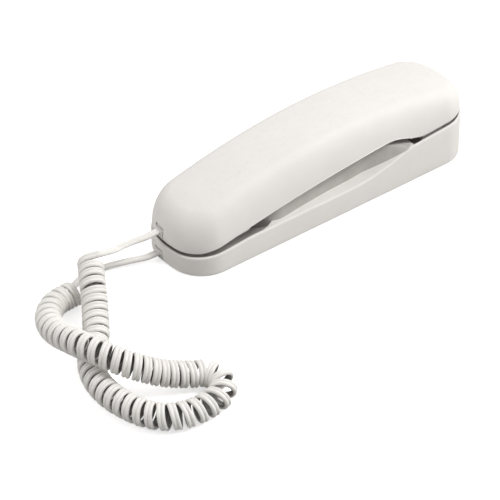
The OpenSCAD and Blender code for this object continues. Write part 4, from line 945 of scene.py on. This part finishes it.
def makePlastic(values):
    # moulded plastic: grain is scale, strength and depth, worn is how much and its tone
    f = {**plain, **values}
    material, tree, shader = newMaterial(f["name"])
    grainScale, strength, depth = f["grain"]
    grain = placeGroup(tree, "grain", Grain_Scale=grainScale, Mottle_Scale=f["mottleScale"])
    tone = blendColours(tree, grain["Mottle"], *map(colour, f["tones"]))
    if "worn" in f:
        share = maths(tree, "MULTIPLY", placeGroup(tree, "wear")["Mask"], f["worn"][0])
        tone = blendColours(tree, share, tone, colour(f["worn"][1]))
    if "dust" in f:
        dust = placeGroup(tree, "dust", Scale=f["dustScale"])
        share = maths(tree, "MULTIPLY", dust["Mask"], f["dust"])
        tone = blendColours(tree, share, tone, colour(f["dustTone"]))
    if "paintedShadeTone" in f:
        # painted shade: the strand's side that faces the curls' axis is darkened towards a near-black tone
        tone = blendColours(tree, placeGroup(tree, "inside")["Mask"], tone, colour(f["paintedShadeTone"]))
    join(tone, shader.inputs["Base Color"])
    polish = placeGroup(tree, "polish", Scale=f["polishScale"], Low=f["gloss"][0], High=f["gloss"][1])
    join(polish["Roughness"], shader.inputs["Roughness"])
    bumpInto(tree, shader, grain["Height"], strength, depth)
    fill(shader, Specular_IOR_Level=f["specular"], Coat_Weight=f["coat"], Coat_Roughness=f["coatRoughness"])
    return material


def makeMetal(f):
    # drawn or plated metal with fine lines, some of it tarnished
    material, tree, shader = newMaterial(f["name"])
    grain = placeGroup(tree, "grain", Grain_Scale=f["grainScale"], Mottle_Scale=f["mottleScale"])
    join(blendColours(tree, grain["Mottle"], *map(colour, f["tones"])), shader.inputs["Base Color"])
    lines = noiseOf(tree, f["lineScale"], stretch=f["lineStretch"])
    join(spread(tree, lines, 0.3, 0.7, *f["gloss"]), shader.inputs["Roughness"])
    bumpInto(tree, shader, lines, *f["bump"])
    fill(shader, Metallic=1.0)
    return material


def makeBoard(f):
    # lacquered board: copper lines show through the green
    material, tree, shader = newMaterial(f["name"])
    cells = tree.nodes.new("ShaderNodeTexVoronoi")
    cells.distance, cells.feature = "MANHATTAN", "F1"
    fill(cells, Scale=f["trackScale"])
    join(tree.nodes.new("ShaderNodeTexCoord").outputs["Object"], cells.inputs["Vector"])
    wave = maths(tree, "FRACT", maths(tree, "MULTIPLY", cells.outputs["Distance"], f["lines"]))
    tracks = spread(tree, wave, 0.45, 0.5)
    join(blendColours(tree, tracks, *map(colour, f["tones"])), shader.inputs["Base Color"])
    join(spread(tree, tracks, 0, 1, *f["gloss"]), shader.inputs["Roughness"])
    bumpInto(tree, shader, tracks, *f["bump"])
    return material


plastics = {
    "shell": {"name": "warmWhiteShell", "tones": ((0.800, 0.775, 0.745), (0.780, 0.757, 0.728)),
              "gloss": (0.52, 0.62), "grain": (2600, 0.12, 0.00006), "worn": (0.2, (0.86, 0.84, 0.81)),
              "dust": 0.25, "specular": 0.4},
    "inner_shell": {"name": "insidePlastic", "tones": ((0.74, 0.72, 0.69), (0.715, 0.695, 0.665)),
                    "gloss": (0.45, 0.56), "grain": (2200, 0.25, 0.00008), "worn": (0.3, (0.80, 0.78, 0.75)),
                    "dust": 0.3},
    "key": {"name": "keyPlastic", "tones": ((0.655, 0.655, 0.645), (0.635, 0.635, 0.625)),
            "gloss": (0.28, 0.42), "grain": (2600, 0.15, 0.00005), "worn": (0.6, (0.74, 0.74, 0.73)),
            "dust": 0.1, "polishScale": 160},
    # the cord's dark last tone is painted shade for the inner side of the curls
    "cord": {"name": "cordVinyl", "tones": ((0.835, 0.815, 0.785), (0.81, 0.79, 0.76)), "gloss": (0.36, 0.46),
             "grain": (1500, 0.10, 0.00006), "dust": 0.3, "dustScale": 300, "polishScale": 60,
             "specular": 0.45, "paintedShadeTone": (0.16, 0.15, 0.14)},
    "clear_plastic": {"name": "plugPlastic", "tones": ((0.77, 0.76, 0.74), (0.74, 0.73, 0.71)),
                      "gloss": (0.08, 0.2), "grain": (900, 0.05, 0.00004), "coat": 0.4, "coatRoughness": 0.08},
    "black_plastic": {"name": "socketPlastic", "tones": ((0.022, 0.022, 0.024), (0.032, 0.032, 0.034)),
                      "gloss": (0.3, 0.45), "grain": (2000, 0.3, 0.00008), "worn": (0.5, (0.09, 0.09, 0.095)),
                      "dust": 0.3},
    "rubber": {"name": "darkRubber", "tones": ((0.075, 0.073, 0.070), (0.095, 0.092, 0.088)),
               "gloss": (0.7, 0.85), "grain": (1400, 0.5, 0.0001), "dust": 0.5, "specular": 0.3},
    "mark": {"name": "keyMark", "tones": ((0.035, 0.035, 0.038), (0.05, 0.05, 0.055)), "gloss": (0.45, 0.6),
             "grain": (4000, 0.2, 0.00003), "mottleScale": 900},
    # the pocket finish is a darker copy of the shell plastic: painted shade for the recesses under the handset
    "pocket": {"name": "pocketShadePlastic", "tones": ((0.44, 0.424, 0.402), (0.418, 0.402, 0.381)),
               "gloss": (0.5, 0.6), "grain": (2400, 0.2, 0.00007), "worn": (0.3, (0.60, 0.58, 0.555)),
               "dust": 0.3}}
metals = {
    "steel": {"name": "platedSteel", "tones": ((0.60, 0.60, 0.61), (0.50, 0.50, 0.51)), "gloss": (0.22, 0.42),
              "grainScale": 1200, "mottleScale": 220, "lineScale": 900, "lineStretch": (0.1, 1, 1),
              "bump": (0.3, 0.00003)},
    "brass": {"name": "sounderBrass", "tones": ((0.76, 0.60, 0.29), (0.62, 0.46, 0.20)), "gloss": (0.18, 0.4),
              "grainScale": 900, "mottleScale": 120, "lineScale": 600, "lineStretch": (1, 1, 0.2),
              "bump": (0.3, 0.00003)}}
boardFinish = {"name": "boardLacquer", "tones": ((0.022, 0.105, 0.048), (0.055, 0.20, 0.085)),
               "gloss": (0.35, 0.25), "trackScale": 90, "lines": 5, "bump": (1.0, 0.00004)}

finishes = {slot: makePlastic(f) for slot, f in plastics.items()}
finishes |= {slot: makeMetal(f) for slot, f in metals.items()}
finishes["circuit_board"] = makeBoard(boardFinish)


# puts a finish on a piece, and optionally a second one, the pocket's painted shade, on its inside faces
def dress(piece, slotName, inside=None):
    if inside:
        piece.data.materials[0], piece.data.materials[1] = finishes[slotName], inside
    else:
        piece.data.materials.clear()
        piece.data.materials.append(finishes[slotName])


# the pocket finish paints shade on the wall's inside faces, and on the saddle, decks and shoulders under the handset
for piece in basePieces + lips + [handsetShell]:
    dress(piece, "shell", finishes["pocket"] if piece.name == "baseWall" else None)
    if piece.name in ("saddle", "mouthDeck", "earDeck") or "Shoulder" in piece.name:
        piece.data.materials[0] = finishes["pocket"]
for piece in cordPieces:
    dress(piece, "cord")
for node in nodes.values():
    for place in node.material_slots:
        place.material = finishes[place.material.name]
print("finishes set on", len(nodes), "solids")

keyText = {"digitSize": 0.0050, "letterSize": 0.0019, "thick": 0.00003, "digitDrop": 0.0012, "letterRise": 0.0022,
           "lift": 0.00001, "faceSlack": 0.00002, "tiltRun": 0.01}
keyLabels = {"1": ("1", ""), "2": ("2", "ABC"), "3": ("3", "DEF"), "4": ("4", "GHI"), "5": ("5", "JKL"),
             "6": ("6", "MNO"), "7": ("7", "PQRS"), "8": ("8", "TUV"), "9": ("9", "WXYZ"), "star": ("*", ""),
             "0": ("0", "OPER"), "hash": ("#", ""), "flash": ("", "FLASH"), "redial": ("", "REDIAL"),
             "mute": ("", "MUTE")}


def flatWords(words, size, shift):
    # the words as a thin mesh round the origin, reading along X
    curve = bpy.data.curves.new("words", "FONT")
    curve.body, curve.size = words, size
    curve.align_x, curve.align_y = "CENTER", "CENTER"
    curve.extrude = keyText["thick"]
    holder = link("words", curve)
    mesh = finalMesh(holder)
    bpy.data.objects.remove(holder)
    mesh.transform(Matrix.Translation((0, shift, 0)))
    return mesh


def makeKeyMarks(t):
    # digits and letters on the keys, which face out of the tilted panel
    tilt = atan2(panelZ(t["tiltRun"]) - panelZ(0), t["tiltRun"])
    out = Vector((sin(tilt), 0, -cos(tilt)))
    along, across = Vector((cos(tilt), 0, sin(tilt))), Vector((0, 1, 0))
    turn = Matrix((across, along, out)).transposed().to_4x4()
    made = []
    for key, (digit, letters) in keyLabels.items():
        node = nodes["key_" + key]
        points = [node.matrix_world @ v.co for v in node.data.vertices]
        height = max(p.dot(out) for p in points)
        face = [p for p in points if p.dot(out) > height - t["faceSlack"]]
        middle = sum(face, Vector()) / len(face)
        work = bmesh.new()
        if digit:
            work.from_mesh(flatWords(digit, t["digitSize"], -t["digitDrop"] if letters else 0))
        if letters:
            work.from_mesh(flatWords(letters, t["letterSize"], t["letterRise"] if digit else 0))
        mesh = bpy.data.meshes.new("made")
        work.to_mesh(mesh)
        work.free()
        mesh.transform(Matrix.Translation(middle + out * t["lift"]) @ turn)
        mesh.materials.append(finishes["mark"])
        mark = link("keyMark_" + key, mesh, "key_" + key)
        made.append(mark)
    return made


keyMarks = makeKeyMarks(keyText)
print("marks on", len(keyMarks), "keys")

lighting = {"world": (1.0, 0.985, 0.975), "worldStrength": 0.46, "worldLow": 0.2, "worldHigh": 1.8,
            "brightWay": (0.6, 0.6, 0.53), "aim": (0, 0, 0.02),
            # place, size and power
            "lamps": {"mainLamp": ((0.45, -0.8, 1.3), 0.5, 13.2), "sideLamp": ((1.2, -0.8, 0.45), 0.7, 5.5),
                      "endLamp": ((-1.0, 0.45, 0.5), 0.6, 3.2)}}


def makeLight(l):
    world = scene.world or bpy.data.worlds.new("world")
    scene.world = world
    world.use_nodes = True
    tree = world.node_tree
    sky = tree.nodes["Background"]
    fill(sky, Color=colour(l["world"]))
    # the room is darker towards one corner
    dot = tree.nodes.new("ShaderNodeVectorMath")
    dot.operation = "DOT_PRODUCT"
    dot.inputs[1].default_value = l["brightWay"]
    join(tree.nodes.new("ShaderNodeTexCoord").outputs["Generated"], dot.inputs[0])
    share = spread(tree, dot.outputs["Value"], -1, 1, l["worldLow"], l["worldHigh"])
    join(maths(tree, "MULTIPLY", share, l["worldStrength"]), sky.inputs["Strength"])
    for name, (place, size, power) in l["lamps"].items():
        data = bpy.data.lights.new(name, "AREA")
        data.energy, data.size = power, size
        lamp = link(name, data)
        lamp.location = place
        lamp.rotation_euler = (Vector(l["aim"]) - Vector(place)).to_track_quat("-Z", "Y").to_euler()
    scene.view_settings.view_transform = "Standard"


floorSetup = {"half": 4, "paper": (0.93, 0.93, 0.93), "roughness": 0.9, "glow": 0.55, "bounce": (0.50, 0.50, 0.49)}


def makeFloor(f):
    # pale plain floor: bright to the camera, dimmer for the light that it throws back
    half = f["half"]
    corners = [(-half, -half, 0), (half, -half, 0), (half, half, 0), (-half, half, 0)]
    floor = link("floor", meshFrom(corners, [(0, 1, 2, 3)], False))
    material, tree, shader = newMaterial("floorPaper")
    fill(shader, Base_Color=colour(f["paper"]), Roughness=f["roughness"], Specular_IOR_Level=0.0)
    glow = tree.nodes.new("ShaderNodeEmission")
    fill(glow, Strength=f["glow"])
    bright = tree.nodes.new("ShaderNodeAddShader")
    join(shader.outputs["BSDF"], bright.inputs[0])
    join(glow.outputs["Emission"], bright.inputs[1])
    dim = tree.nodes.new("ShaderNodeBsdfDiffuse")
    fill(dim, Color=colour(f["bounce"]))
    either = tree.nodes.new("ShaderNodeMixShader")
    join(tree.nodes.new("ShaderNodeLightPath").outputs["Is Camera Ray"], either.inputs["Fac"])
    join(dim.outputs["BSDF"], either.inputs[1])
    join(bright.outputs["Shader"], either.inputs[2])
    join(either.outputs["Shader"], tree.nodes["Material Output"].inputs["Surface"])
    floor.data.materials.append(material)


makeLight(lighting)
makeFloor(floorSetup)
print("light and floor set")
